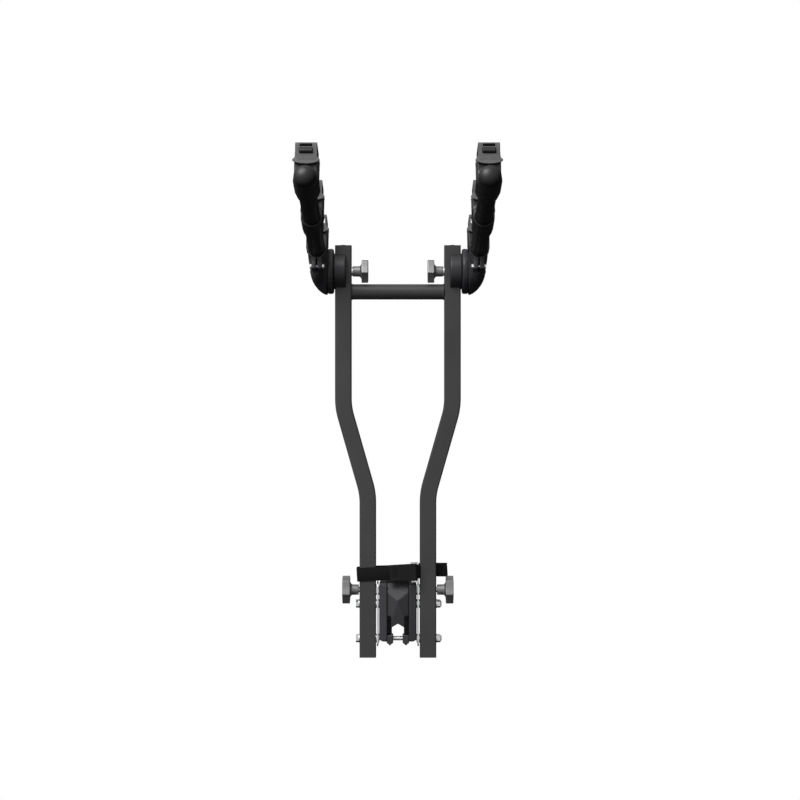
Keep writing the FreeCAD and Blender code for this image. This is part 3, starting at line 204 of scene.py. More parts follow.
def egg(centre: Numbers, radii: Numbers) -> Form:
    """An ellipsoid.

    Formula: with k the length of the point scaled by the radii and g the
    length scaled by their squares, the distance is about k (k - 1) / g.

    Args:
        centre: Its middle.
        radii: Its three half axes.

    Returns:
        The form.
    """
    middle, size = np.array(centre, float), np.array(radii, float)

    def distance(p: Array) -> Array:
        """The signed distance of every point.

        Args:
            p: Points, one row each.

        Returns:
            One distance for each point.
        """
        q = p - middle
        k = np.linalg.norm(q / size, axis=1)
        g = np.linalg.norm(q / size**2, axis=1)
        return k * (k - 1.0) / np.maximum(g, 1e-9)

    return Form(distance)


def half_space(point: Numbers, normal: Numbers) -> Form:
    """Everything behind a plane; its formula is the height over the plane.

    Args:
        point: Any point of the plane.
        normal: Its outward direction, of any length.

    Returns:
        The form.
    """
    unit = np.array(normal, float) / np.linalg.norm(normal)
    level = float(np.dot(unit, point))
    return Form(lambda p: p @ unit - level)


def outline_distance(p: Array, corners: Array) -> Array:
    """Signed distance of plane points to a closed outline.

    Formula: the least distance to any side, negative where a ray from the
    point crosses the outline an odd number of times.

    Args:
        p: Points, one row each, with two coordinates.
        corners: The outline's corners in order.

    Returns:
        One distance for each point.
    """
    least = np.full(len(p), np.inf)
    sign = np.ones(len(p))
    for start, end in zip(corners, np.roll(corners, -1, axis=0)):
        side = end - start
        to_point = p - start
        share = np.clip(to_point @ side / (side @ side), 0.0, 1.0)
        apart = to_point - share[:, None] * side
        least = np.minimum(least, (apart**2).sum(axis=1))
        above = p[:, 1] >= start[1]
        below = p[:, 1] < end[1]
        left = side[0] * to_point[:, 1] > side[1] * to_point[:, 0]
        crossed = (above & below & left) | (~above & ~below & ~left)
        sign = np.where(crossed, -sign, sign)
    return sign * np.sqrt(least)


def shrunk(corners: Corners, amount: float) -> Array:
    """An outline whose sides have all moved inwards by one distance.

    Formula: each corner moves against the sum of its two outward side normals,
    divided by one plus their dot product.

    Args:
        corners: The outline's corners in order.
        amount: How far the sides move.

    Returns:
        The new corners.
    """
    c = np.array(corners, float)
    ahead = np.roll(c, -1, axis=0) - c
    turn = np.sign((c[:, 0] * np.roll(c, -1, axis=0)[:, 1] - c[:, 1] * np.roll(c, -1, axis=0)[:, 0]).sum())
    normal = np.stack([ahead[:, 1], -ahead[:, 0]], axis=1) * turn
    normal /= np.linalg.norm(normal, axis=1)[:, None]
    before = np.roll(normal, 1, axis=0)
    return c - amount * (normal + before) / (1.0 + (normal * before).sum(axis=1))[:, None]


def plate(axis: Axis, corners: Corners, start: float, end: float, rounding: float = 0.0) -> Form:
    """An outline carried along an axis, with every edge rounded.

    Formula: the distance in the plane of outline distance and length, taken
    to the shrunk outline and grown again by the rounding.

    Args:
        axis: Direction in which the outline is carried.
        corners: The outline in the two other coordinates.
        start: Where it begins along the axis.
        end: Where it ends along the axis.
        rounding: Radius of all edges.

    Returns:
        The form.
    """
    along, first, second = axis.value
    inner = shrunk(corners, rounding) if rounding else np.array(corners, float)

    def distance(p: Array) -> Array:
        """The signed distance of every point.

        Args:
            p: Points, one row each.

        Returns:
            One distance for each point.
        """
        flat = outline_distance(p[:, (first, second)], inner)
        axial = np.abs(p[:, along] - (start + end) / 2.0) - (end - start) / 2.0 + rounding
        outside = np.hypot(np.maximum(flat, 0.0), np.maximum(axial, 0.0))
        return outside + np.minimum(np.maximum(flat, axial), 0.0) - rounding

    return Form(distance)


def turned(axis: Axis, at: Numbers, profile: Corners, rounding: float = 0.0) -> Form:
    """A profile of length and radius spun about an axis.

    Formula: the outline distance of the point's length and radius to the
    profile together with its mirror image.

    Args:
        axis: The axis of the spin.
        at: The two coordinates of that axis.
        profile: Corners as length and radius, from the axis round to the axis.
        rounding: Radius of all edges.

    Returns:
        The form.
    """
    along, first, second = axis.value
    mirrored = [(length, -radius) for length, radius in reversed(profile) if radius > 0.0]
    outline = shrunk([c for c in profile if c[1] > 0.0] + mirrored, rounding)

    def distance(p: Array) -> Array:
        """The signed distance of every point."""
        radius = np.hypot(p[:, first] - at[0], p[:, second] - at[1])
        return outline_distance(np.stack([p[:, along], radius], axis=1), outline) - rounding

    return Form(distance)


def strip(path: Array, thickness: float, half_width: float, rounding: float) -> Form:
    """A flat band of even thickness along a path in the Y-Z plane, across X.

    Formula: the least distance to the path's straight pieces less half the
    thickness, joined with |x| less the half width round a small edge radius.

    Args:
        path: Points with their Y and Z.
        thickness: Thickness of the band.
        half_width: Half its width along X.
        rounding: Radius of its edges.

    Returns:
        The form.
    """

    def distance(p: Array) -> Array:
        """The signed distance of every point.

        Args:
            p: Points, one row each.

        Returns:
            One distance for each point.
        """
        least = np.full(len(p), np.inf)
        flat = p[:, 1:3]
        for start, end in zip(path[:-1], path[1:]):
            side = end - start
            to_point = flat - start
            share = np.clip(to_point @ side / (side @ side), 0.0, 1.0)
            least = np.minimum(least, ((to_point - share[:, None] * side) ** 2).sum(axis=1))
        across = np.sqrt(least) - thickness / 2.0 + rounding
        along = np.abs(p[:, 0]) - half_width + rounding
        outside = np.hypot(np.maximum(across, 0.0), np.maximum(along, 0.0))
        return outside + np.minimum(np.maximum(across, along), 0.0) - rounding

    return Form(distance)


def filleted(corners: Corners, radius: float, steps: int = 7) -> Array:
    """A path whose inner corners are round arcs.

    Formula: at each inner corner an arc of the radius touches both sides, at
    the radius over the tangent of half the inner angle from the corner, but
    never further than nearly half of a side.

    Args:
        corners: The path's corners.
        radius: Radius of the arcs.
        steps: Points on each arc.

    Returns:
        The points of the rounded path.
    """
    path = np.array(corners, float)
    points = [path[0]]
    for before, corner, after in zip(path[:-2], path[1:-1], path[2:]):
        back, ahead = before - corner, after - corner
        longest = 0.48 * min(np.linalg.norm(back), np.linalg.norm(ahead))
        back, ahead = back / np.linalg.norm(back), ahead / np.linalg.norm(ahead)
        half = math.acos(float(np.clip(back @ ahead, -1.0, 1.0))) / 2.0
        reach = min(radius / math.tan(half), longest)
        swing = math.pi - 2.0 * half
        middle = back + ahead
        centre = corner + middle / np.linalg.norm(middle) * reach / math.cos(half)
        start, end = corner + reach * back - centre, corner + reach * ahead - centre
        share = np.linspace(0.0, 1.0, steps)[:, None]
        arc = np.sin((1.0 - share) * swing) * start + np.sin(share * swing) * end
        points.extend(centre + arc / math.sin(swing))
    points.append(path[-1])
    return np.array(points)


# Meshes


@dataclass(frozen=True)
class Mesh:
    """Vertices in millimetres and faces with four corners; a three-cornered face repeats its last one."""

    vertices: Array
    faces: Array

    def placed(self, placing: Placing) -> "Mesh":
        """The mesh with every vertex carried to its place."""
        return Mesh(placing(self.vertices), self.faces)

    def mirrored(self) -> "Mesh":
        """The mirror image across the rack's middle plane, faces outwards.

        Returns:
            The mirrored mesh.
        """
        three = self.faces[:, 2] == self.faces[:, 3]
        faces = np.where(three[:, None], self.faces[:, (2, 1, 0, 0)], self.faces[:, ::-1])
        return Mesh(self.vertices * np.array([-1.0, 1.0, 1.0]), faces)

    def with_mesh(self, other: "Mesh") -> "Mesh":
        """Both meshes as one."""
        faces = np.vstack([self.faces, other.faces + len(self.vertices)])
        return Mesh(np.vstack([self.vertices, other.vertices]), faces)


def settle(form: Form, vertices: Array, cell: float) -> Array:
    """Draw vertices onto the form's surface.

    Formula: each vertex moves against the gradient by distance over the
    square of the gradient's length, at most half a cell, three times over. That
    square counts as 0.2 at least, so that flat spots stay calm.

    Args:
        form: The form.
        vertices: Points near its surface.
        cell: Size of the sampling cell.

    Returns:
        The moved points.
    """
    reach = cell * 0.05
    for _ in range(3):
        rises = [form.distance(vertices + s) - form.distance(vertices - s) for s in np.eye(3) * reach]
        gradient = np.stack(rises, axis=1) / (2.0 * reach)
        weight = form.distance(vertices) / np.maximum((gradient**2).sum(axis=1), 0.2)
        vertices = vertices - gradient * np.clip(weight, -0.5 * cell, 0.5 * cell)[:, None]
    return vertices


def surface(form: Form, low: Numbers, high: Numbers, cell: float) -> Mesh:
    """The surface of a form as a mesh of even four-cornered faces.

    Formula: the distance is sampled on a grid. Each cell that the surface
    crosses gets one vertex, the mean of the crossings of its twelve edges, and
    each grid edge that it crosses gets one face between its four cells.

    Args:
        form: The form.
        low: Lowest corner of the sampled space.
        high: Highest corner of the sampled space.
        cell: Size of a cell.

    Returns:
        The mesh.
    """
    origin = np.array(low, float) - 2.0 * cell
    counts = np.ceil((np.array(high, float) + 2.0 * cell - origin) / cell).astype(int) + 1
    axes = [origin[i] + cell * np.arange(counts[i]) for i in range(3)]
    grid = np.stack(np.meshgrid(*axes, indexing="ij"), axis=-1).reshape(-1, 3)
    value = form.distance(grid).reshape(counts)
    value = np.where(np.abs(value) < NEAR_ZERO, NEAR_ZERO, value)
    inside = value < 0.0
    shape = tuple(counts - 1)
    total = np.zeros(shape + (3,))
    number = np.zeros(shape)
    for axis in range(3):
        others = [i for i in range(3) if i != axis]
        for first in (0, 1):
            for second in (0, 1):
                offset = [0, 0, 0]
                offset[others[0]], offset[others[1]] = first, second
                begin = tuple(slice(offset[i], offset[i] + shape[i]) for i in range(3))
                offset[axis] = 1
                finish = tuple(slice(offset[i], offset[i] + shape[i]) for i in range(3))
                a, b = value[begin], value[finish]
                crossed = inside[begin] != inside[finish]
                share = np.where(crossed, a / np.where(crossed, a - b, 1.0), 0.0)
                number += crossed
                total[..., axis] += share
                total[..., others[0]] += crossed * float(first)
                total[..., others[1]] += crossed * float(second)
    active = number > 0
    label = np.full(shape, -1)
    label[active] = np.arange(int(active.sum()))
    place = np.stack(np.nonzero(active), axis=1) + total[active] / number[active][:, None]
    vertices = origin + place * cell
    faces = []
    for axis in range(3):
        first, second = (axis + 1) % 3, (axis + 2) % 3
        begin = [slice(1, -1)] * 3
        finish = [slice(1, -1)] * 3
        begin[axis], finish[axis] = slice(0, -1), slice(1, None)
        a, b = inside[tuple(begin)], inside[tuple(finish)]
        for crossed, outward in ((a & ~b, True), (b & ~a, False)):
            at = np.stack(np.nonzero(crossed), axis=1)
            at[:, first] += 1
            at[:, second] += 1
            ring = []
            for back_first, back_second in ((1, 1), (0, 1), (0, 0), (1, 0)):
                spot = at.copy()
                spot[:, first] -= back_first
                spot[:, second] -= back_second
                ring.append(label[spot[:, 0], spot[:, 1], spot[:, 2]])
            quad = np.stack(ring if outward else ring[::-1], axis=1)
            faces.append(quad)
    return Mesh(settle(form, vertices, cell), np.vstack(faces))


def swept(rings: Array) -> Mesh:
    """A closed skin over a row of rings, with a fan of narrow faces at each end.

    Formula: face i, j joins points j and j + 1 of ring i to the same points of
    ring i + 1, and each end closes on its own middle point.

    Args:
        rings: Points by ring, by place round the ring, and by coordinate.

    Returns:
        The mesh.
    """
    rows, around = rings.shape[:2]
    ends = rings[[0, -1]].mean(axis=1)
    vertices = np.vstack([rings.reshape(-1, 3), ends])
    i, j = np.meshgrid(np.arange(rows - 1), np.arange(around), indexing="ij")
    following = (j + 1) % around
    here, ahead = i * around, (i + 1) * around
    sides = np.stack([here + j, here + following, ahead + following, ahead + j], axis=-1)
    near = np.arange(around)
    after = (near + 1) % around
    first, last = rows * around, rows * around + 1
    base = (rows - 1) * around
    start_cap = np.stack([near, np.full(around, first), after, after], axis=1)
    end_cap = np.stack([base + near, base + after, np.full(around, last), np.full(around, last)], axis=1)
    return Mesh(vertices, np.vstack([sides.reshape(-1, 4), start_cap, end_cap]))


def rounded_ring(width: float, depth: float, radius: float, steps: int = 5) -> Array:
    """A rectangle with round corners, about the origin, turning left.

    Formula: four quarter circles of the radius, about the four corners of the
    rectangle less the radius.

    Args:
        width: Size along the first coordinate.
        depth: Size along the second coordinate.
        radius: Corner radius.
        steps: Points on each corner.

    Returns:
        Points with two coordinates.
    """
    angle = np.linspace(0.0, math.pi / 2.0, steps)
    arcs = []
    for index, (across, along) in enumerate(((1, 1), (-1, 1), (-1, -1), (1, -1))):
        turn = angle + index * math.pi / 2.0
        centre = np.array([across * (width / 2.0 - radius), along * (depth / 2.0 - radius)])
        arcs.append(centre + radius * np.stack([np.cos(turn), np.sin(turn)], axis=1))
    return np.vstack(arcs)


def tube_rings(stations: Array, radius: float, around: int = 64) -> Array:
    """Rings of a round bar along X, with the points of each ring evenly round it.

    Formula: x is the station, and y and z are the radius times the cosine and the sine of the
    turn.

    Args:
        stations: Places of the rings along X.
        radius: Radius of the bar.
        around: Points on each ring.

    Returns:
        Points by ring, by place round the ring, and by coordinate.
    """
    turn = np.linspace(0.0, 2.0 * math.pi, around, endpoint=False)
    x, angle = np.meshgrid(stations, turn, indexing="ij")
    return np.stack([x, radius * np.cos(angle), radius * np.sin(angle)], axis=-1)


def make_object(
    name: str, mesh: Mesh, material: bpy.types.Material, smooth_below: float = 40.0
) -> bpy.types.Object:
    """Put a mesh into the scene as one finished piece.

    Args:
        name: Name of the piece.
        mesh: Its mesh in millimetres, already in place.
        material: Its material.
        smooth_below: Edges flatter than this angle in degrees are shaded smooth.

    Returns:
        The new object, at the origin.
    """
    data = bpy.data.meshes.new(name)
    data.vertices.add(len(mesh.vertices))
    data.vertices.foreach_set("co", (mesh.vertices * MM).astype(np.float32).ravel())
    square = mesh.faces[:, 2] != mesh.faces[:, 3]
    loops = np.concatenate([mesh.faces[square].ravel(), mesh.faces[~square][:, :3].ravel()])
    sizes = np.concatenate([np.full(int(square.sum()), 4), np.full(int((~square).sum()), 3)])
    data.loops.add(len(loops))
    data.loops.foreach_set("vertex_index", loops.astype(np.int32))
    data.polygons.add(len(sizes))
    data.polygons.foreach_set("loop_start", np.concatenate([[0], np.cumsum(sizes)[:-1]]).astype(np.int32))
    data.polygons.foreach_set("use_smooth", np.ones(len(sizes), bool))
    data.update(calc_edges=True)
    data.validate()
    data.set_sharp_from_angle(angle=math.radians(smooth_below))
    data.materials.append(material)
    piece = bpy.data.objects.new(name, data)
    bpy.context.scene.collection.objects.link(piece)
    return piece


# Finishes


class NodeSheet:
    """Adds and joins the shader nodes of one material."""

    def __init__(self, name: str) -> None:
        """Start a material with a plain surface shader.

        Args:
            name: Name of the material.
        """
        self.material = bpy.data.materials.new(name)
        self.material.use_nodes = True
        self.tree = self.material.node_tree
        self.shader = self.tree.nodes["Principled BSDF"]

    def add(self, kind: str, **values: object) -> Node:
        """A new node, with its properties set by name.

        Args:
            kind: Kind of node.
            **values: Properties of the node by their names.

        Returns:
            The node.
        """
        node = self.tree.nodes.new(kind)
        for name, value in values.items():
            setattr(node, name, value)
        return node

    def join(self, source: Node, output: Output, target: Node, socket: Output) -> None:
        """Link an output to an input."""
        self.tree.links.new(source.outputs[output], target.inputs[socket])

    def noise(self, scale: float, detail: float = 3.0, roughness: float = 0.5) -> Node:
        """Noise on the piece's own coordinates, in cycles per metre.

        Args:
            scale: Cycles of the broadest layer in a metre.
            detail: How many finer layers lie over it.
            roughness: Strength of each finer layer next to the one before.

        Returns:
            The noise.
        """
        place = self.add("ShaderNodeTexCoord")
        noise = self.add("ShaderNodeTexNoise")
        noise.inputs["Scale"].default_value = scale
        noise.inputs["Detail"].default_value = detail
        noise.inputs["Roughness"].default_value = roughness
        self.join(place, "Object", noise, "Vector")
        return noise

    def spread(self, source: Node, output: str, low: float, high: float, socket: str) -> None:
        """Map a noise's middle values onto a range of one shader input.

        Args:
            source: The noise.
            output: Which of its outputs.
            low: Value where the noise is low.
            high: Value where the noise is high.
            socket: The shader input that is set.
        """
        span = self.add("ShaderNodeMapRange")
        span.inputs["From Min"].default_value = NOISE_LOW
        span.inputs["From Max"].default_value = NOISE_HIGH
        span.inputs["To Min"].default_value = low
        span.inputs["To Max"].default_value = high
        self.join(source, output, span, "Value")
        self.join(span, "Result", self.shader, socket)

    def colours(self, source: Node, output: Output, low: Numbers, high: Numbers) -> None:
        """Colour the surface between two near shades.

        Args:
            source: The noise.
            output: Which of its outputs.
            low: Colour where the noise is low.
            high: Colour where the noise is high.
        """
        ramp = self.add("ShaderNodeValToRGB")
        ramp.color_ramp.elements[0].position = NOISE_LOW
        ramp.color_ramp.elements[1].position = NOISE_HIGH
        ramp.color_ramp.elements[0].color = (*low, 1.0)
        ramp.color_ramp.elements[1].color = (*high, 1.0)
        self.join(source, output, ramp, "Fac")
        self.join(ramp, "Color", self.shader, "Base Color")

    def shades(self, source: Node, output: Output, shade: Numbers, low: float, high: float) -> None:
        """Colour the surface between two shares of one shade."""
        self.colours(source, output, tuple(c * low for c in shade), tuple(c * high for c in shade))

    def roughen(self, source: Node, middle: float, below: float, above: float) -> None:
        """Spread the roughness round its middle value."""
        self.spread(source, "Fac", middle - below, middle + above, "Roughness")

    def relief(self, sources: Sequence[tuple[Node, str, float]], depth: float) -> None:
        """Bumps from several height sources with their shares.

        Args:
            sources: Node, output and strength of each layer.
            depth: Height of the bumps in metres.
        """
        previous = None
        for source, output, strength in sources:
            bump = self.add("ShaderNodeBump")
            bump.inputs["Strength"].default_value = strength
            bump.inputs["Distance"].default_value = depth
            self.join(source, output, bump, "Height")
            if previous is not None:
                self.join(previous, "Normal", bump, "Normal")
            previous = bump
        self.join(previous, "Normal", self.shader, "Normal")


@dataclass(frozen=True)
class CoatedSteel:
    """Black powder coat over steel: a fine orange-peel skin with a low gloss."""

    name: str
    shade: tuple[float, float, float]
    roughness: float = 0.42
    peel: float = 0.25
    gloss: float = 0.25

    def build(self) -> bpy.types.Material:
        """Join the nodes of the powder coat.

        Returns:
            The material.
        """
        sheet = NodeSheet(self.name)
        broad = sheet.noise(14.0, 4.0)
        sheet.shades(broad, "Fac", self.shade, 0.9, 1.1)
        sheet.roughen(sheet.noise(160.0, 3.0), self.roughness, 0.05, 0.06)
        sheet.shader.inputs["Specular IOR Level"].default_value = self.gloss
        sheet.relief([(sheet.noise(700.0, 2.0), "Fac", self.peel)], 0.00006)
        return sheet.material


@dataclass(frozen=True)
class MouldedPlastic:
    """Moulded plastic with a fine eroded grain, faint waves and slight flow shading."""

    name: str
    shade: tuple[float, float, float]
    roughness: float = 0.45
    grain: float = 0.3
    gloss: float = 0.25

    def build(self) -> bpy.types.Material:
        """Join the nodes of the grained plastic.

        Returns:
            The material.
        """
        sheet = NodeSheet(self.name)
        flow = sheet.noise(24.0, 5.0, 0.55)
        sheet.shades(flow, "Fac", self.shade, 0.86, 1.12)
        sheet.roughen(sheet.noise(90.0, 4.0), self.roughness, 0.06, 0.08)
        sheet.shader.inputs["Specular IOR Level"].default_value = self.gloss
        fine, broad = sheet.noise(1500.0, 2.0), sheet.noise(40.0, 2.0)
        sheet.relief([(fine, "Fac", self.grain), (broad, "Fac", 0.05)], 0.00005)
        return sheet.material


@dataclass(frozen=True)
class SilverPlastic:
    """Grey plastic with metal flakes: it mirrors softly and has hardly any grain."""

    name: str
    shade: tuple[float, float, float]
    flakes: float = 0.55
    roughness: float = 0.36

    def build(self) -> bpy.types.Material:
        """Join the nodes of the flaked plastic.

        Returns:
            The material.
        """
        sheet = NodeSheet(self.name)
        flow = sheet.noise(30.0, 4.0)
        sheet.shades(flow, "Fac", self.shade, 0.93, 1.07)
        sheet.shader.inputs["Metallic"].default_value = self.flakes
        sheet.roughen(sheet.noise(120.0, 3.0), self.roughness, 0.04, 0.05)
        sheet.relief([(sheet.noise(1300.0, 2.0), "Fac", 0.12)], 0.00004)
        return sheet.material


@dataclass(frozen=True)
class SoftRubber:
    """Matt moulded rubber with a dry bloom and small pits."""

    name: str
    shade: tuple[float, float, float]
    roughness: float = 0.62
    gloss: float = 0.2

    def build(self) -> bpy.types.Material:
        """Join the nodes of the rubber.

        Returns:
            The material.
        """
        sheet = NodeSheet(self.name)
        bloom = sheet.noise(55.0, 6.0, 0.6)
        sheet.shades(bloom, "Fac", self.shade, 0.84, 1.12)
        sheet.roughen(bloom, self.roughness, 0.07, 0.09)
        sheet.shader.inputs["Specular IOR Level"].default_value = self.gloss
        pits = sheet.add("ShaderNodeTexVoronoi")
        place = sheet.add("ShaderNodeTexCoord")
        pits.inputs["Scale"].default_value = 900.0
        sheet.join(place, "Object", pits, "Vector")
        sheet.relief([(pits, "Distance", 0.2), (sheet.noise(300.0, 3.0), "Fac", 0.12)], 0.00008)
        return sheet.material


@dataclass(frozen=True)
class ZincPlate:
    """Bright zinc on steel: a pale metal with faint clouding and fine scratches."""

    name: str
    shade: tuple[float, float, float] = (0.90, 0.905, 0.90)
    roughness: float = 0.42

    def build(self) -> bpy.types.Material:
        """Join the nodes of the zinc.

        Returns:
            The material.
        """
        sheet = NodeSheet(self.name)
        cloud = sheet.noise(120.0, 5.0, 0.6)
        cool = (self.shade[0] * 0.9, self.shade[1] * 0.92, self.shade[2] * 0.95)
        sheet.colours(cloud, "Fac", cool, self.shade)
        sheet.shader.inputs["Metallic"].default_value = 1.0
        sheet.roughen(sheet.noise(420.0, 4.0), self.roughness, 0.05, 0.08)
        sheet.relief([(sheet.noise(900.0, 3.0), "Fac", 0.04)], 0.00002)
        return sheet.material


@dataclass(frozen=True)
class WovenWebbing:
    """Black polypropylene webbing: ribs along the strap crossed by its weft."""

    name: str
    shade: tuple[float, float, float] = (0.008, 0.008, 0.0085)

    def build(self) -> bpy.types.Material:
        """Join the nodes of the weave, on the piece's own map in centimetres along and across the strap.

        Returns:
            The material.
        """
        sheet = NodeSheet(self.name)
        place = sheet.add("ShaderNodeTexCoord")
        along = sheet.add("ShaderNodeTexWave", bands_direction="X")
        across = sheet.add("ShaderNodeTexWave", bands_direction="Y")
        along.inputs["Scale"].default_value = 3.2
        across.inputs["Scale"].default_value = 2.4
        across.inputs["Distortion"].default_value = 0.4
        weave = sheet.add("ShaderNodeMath", operation="MULTIPLY")
        sheet.join(place, "UV", along, "Vector")
        sheet.join(place, "UV", across, "Vector")
        sheet.join(along, "Fac", weave, 0)
        sheet.join(across, "Fac", weave, 1)
        sheet.shades(weave, 0, self.shade, 0.6, 1.5)
        sheet.shader.inputs["Roughness"].default_value = 0.75
        sheet.shader.inputs["Specular IOR Level"].default_value = 0.15
        sheet.relief([(weave, 0, 0.6)], 0.0003)
        return sheet.material


@dataclass
class Finishes:
    """Every finish of the rack, built once."""

    made: dict[str, bpy.types.Material] = field(default_factory=dict)

    def prepare(self) -> None:
        """Build all materials."""
        recipes = (
            CoatedSteel("frame_paint", (0.043, 0.043, 0.043), 0.42, 0.25, 0.35),
            CoatedSteel("arm_paint", (0.009, 0.009, 0.0095), 0.36, 0.25, 0.2),
            CoatedSteel("cast_metal", (0.03, 0.03, 0.031), 0.55, 0.6, 0.15),
            MouldedPlastic("black_plastic", (0.006, 0.006, 0.0065), 0.45, 0.3, 0.2),
            MouldedPlastic("hub_plastic", (0.020, 0.020, 0.023), 0.42, 0.3, 0.4),
            MouldedPlastic("cradle_plastic", (0.0055, 0.0055, 0.007), 0.43, 0.15, 0.45),
            MouldedPlastic("hood_plastic", (0.031, 0.030, 0.036), 0.38, 0.3, 0.4),
            SilverPlastic("knob_plastic", (0.22, 0.22, 0.22)),
            SoftRubber("strap_rubber", (0.100, 0.100, 0.100)),
            SoftRubber("pad_rubber", (0.020, 0.020, 0.021)),
            ZincPlate("zinc"),
            WovenWebbing("webbing"),
        )
        for recipe in recipes:
            self.made[recipe.name] = recipe.build()

    def dress_nodes(self) -> None:
        """Give every carried-over solid the finish of its record slot."""
        slots = {entry["node"]: entry["material_slot"] for entry in frame["record"]["subparts"]}
        for name, node in frame["nodes"].items():
            material = self.made[slots[name]]
            if not node.material_slots:
                node.data.materials.append(material)
            for slot in node.material_slots:
                slot.material = material


@dataclass
class Fitter:
    """Puts finished meshes on their bodies in place of their solids."""

    finishes: Finishes
    count: int = 0

    def fit(
        self, name: str, mesh: Mesh, slot: str, body: str, nodes: Sequence[str], smooth: float = 40.0
    ) -> bpy.types.Object:
        """Make one piece, ride it and let it stand for its nodes.

        Args:
            name: Name of the piece.
            mesh: Its mesh in millimetres, in place.
            slot: Its material slot.
            body: The body that it moves with.
            nodes: The solids that it stands for.
            smooth: Edges flatter than this angle are shaded smooth.

        Returns:
            The piece.
        """
        piece = make_object(name, mesh, self.finishes.made[slot], smooth)
        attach(piece, body)
        if nodes:
            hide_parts(*nodes)
        self.count += 1
        LOG.info("%s: %d faces on %s", name, len(mesh.faces), body)
        return piece

    def fit_pair(self, name: str, mesh: Mesh, slot: str, body: str, node: str, smooth: float = 40.0) -> None:
        """Fit a right-hand piece and its mirror image.

        Args:
            name: Name of the piece without the side's word, which is added.
            mesh: The right-hand mesh in millimetres, in place.
            slot: Its material slot.
            body: The body it moves with; SIDE in it becomes the side's word.
            node: The solid it stands for, without the side's word.
            smooth: Edges flatter than this angle are shaded smooth.
        """
        for side in Side:
            shown = mesh if side is Side.RIGHT else mesh.mirrored()
            home = body.replace("SIDE", side.word)
            self.fit("%s_%s" % (name, side.word), shown, slot, home, ["%s_%s" % (node, side.word)], smooth)


# Sub-assemblies


@dataclass
class Uprights:
    """The two bent tubes and the crossbar welded between them."""

    setback: float = 28.0
    width: float = 30.0
    depth: float = 25.0
    corner: float = 3.0
    low_x: float = 54.7
    high_x: float = 99.2
    foot: float = -72.4
    head: float = 675.8
    bend_start: float = 207.7
    bend_angle: float = 15.93
    bend_radius: float = 124.0
    bar_radius: float = 14.0
    bar_height: float = 591.8
    bead_width: float = 2.6
    bead_ripples: int = 16
    straight_points: int = 9
    arc_points: int = 13

    def centre_line(self) -> tuple[Array, Array]:
        """Stations along the tube with the lean at each.

        Formula: a straight foot, an arc out, a slant, an arc back and a
        straight head; the slant's rise follows from the sideways run that the
        arcs leave.

        Returns:
            X and Z of each station, and the lean in radians.
        """
        angle = math.radians(self.bend_angle)
        shift = self.bend_radius * (1.0 - math.cos(angle))
        lift = self.bend_radius * math.sin(angle)
        rise = (self.high_x - self.low_x - 2.0 * shift) / math.tan(angle)
        turn = np.linspace(0.0, angle, self.arc_points)
        share = np.linspace(0.0, 1.0, self.straight_points)
        low = np.stack([self.low_x + 0.0 * share, self.foot + (self.bend_start - self.foot) * share], axis=1)
        back_turn = angle - turn
        top = self.bend_start + lift + rise
        bow = self.bend_radius * np.stack([1 - np.cos(turn), np.sin(turn)], axis=1)
        back_bow = self.bend_radius * np.stack([1 - np.cos(back_turn), np.sin(back_turn)], axis=1)
        out = np.array([self.low_x, self.bend_start]) + bow
        back = np.array([self.high_x, top + lift]) - back_bow
        high = np.stack([self.high_x + 0.0 * share, top + lift + (self.head - top - lift) * share], axis=1)
        line = np.vstack([low, out[1:], back, high[1:]])
        lean = np.concatenate([np.zeros(len(low)), turn[1:], back_turn, np.zeros(len(high) - 1)])
        return line, lean

    def tube(self) -> Mesh:
        """The right tube: a rounded rectangle carried along the centre line.

        Formula: the ring's first coordinate runs square to the line's lean, its second along Y.

        Returns:
            The right tube, in place.
        """
        line, lean = self.centre_line()
        ring = rounded_ring(self.width, self.depth, self.corner, 6)
        across = np.stack([np.cos(lean), -np.sin(lean)], axis=1)
        x = line[:, None, 0] + ring[None, :, 0] * across[:, None, 0]
        z = line[:, None, 1] + ring[None, :, 0] * across[:, None, 1]
        y = np.broadcast_to(-self.setback + ring[None, :, 1], x.shape)
        return swept(np.stack([x, y, z], axis=-1))

    def crossbar(self) -> Mesh:
        """The round bar with a rippled weld bead where it meets each tube.

        Formula: each bead is a ring whose height over the bar swells and
        shrinks by a tenth, sixteen times round the bar.

        Returns:
            The bar with both beads, in place.
        """
        reach = self.high_x - self.width / 2.0
        stations = np.concatenate([[-reach], np.linspace(-reach + 0.3, reach - 0.3, 40), [reach]])
        bar = swept(tube_rings(stations, self.bar_radius))
        turn = np.linspace(0.0, 2.0 * math.pi, 96, endpoint=False)
        small = np.linspace(math.pi * 0.02, math.pi * 0.98, 8)
        size = 1.0 + 0.1 * np.sin(self.bead_ripples * turn)
        radius = self.bar_radius - 0.3 + size * np.sin(small)[:, None]
        x = -reach + self.bead_width / 2.0 * (1.0 - np.cos(small)[:, None]) + 0.0 * turn
        bead = swept(np.stack([x, radius * np.cos(turn), radius * np.sin(turn)], axis=-1))
        whole = bar.with_mesh(bead).with_mesh(bead.mirrored())
        return whole.placed(lambda v: v + np.array([0.0, -self.setback, self.bar_height]))

    def fit(self, fitter: Fitter) -> None:
        """Make and place the pieces.

        Args:
            fitter: Puts each piece on its body.
        """
        for side in Side:
            mesh = self.tube() if side is Side.RIGHT else self.tube().mirrored()
            node = "upright_" + side.word
            piece = fitter.fit(node + "_tube", mesh, "frame_paint", "frame", [node], 60.0)
            shading = piece.modifiers.new("even_shading", "WEIGHTED_NORMAL")
            shading.keep_sharp = True
        fitter.fit("crossbar_tube", self.crossbar(), "frame_paint", "frame", ["crossbar"], 60.0)


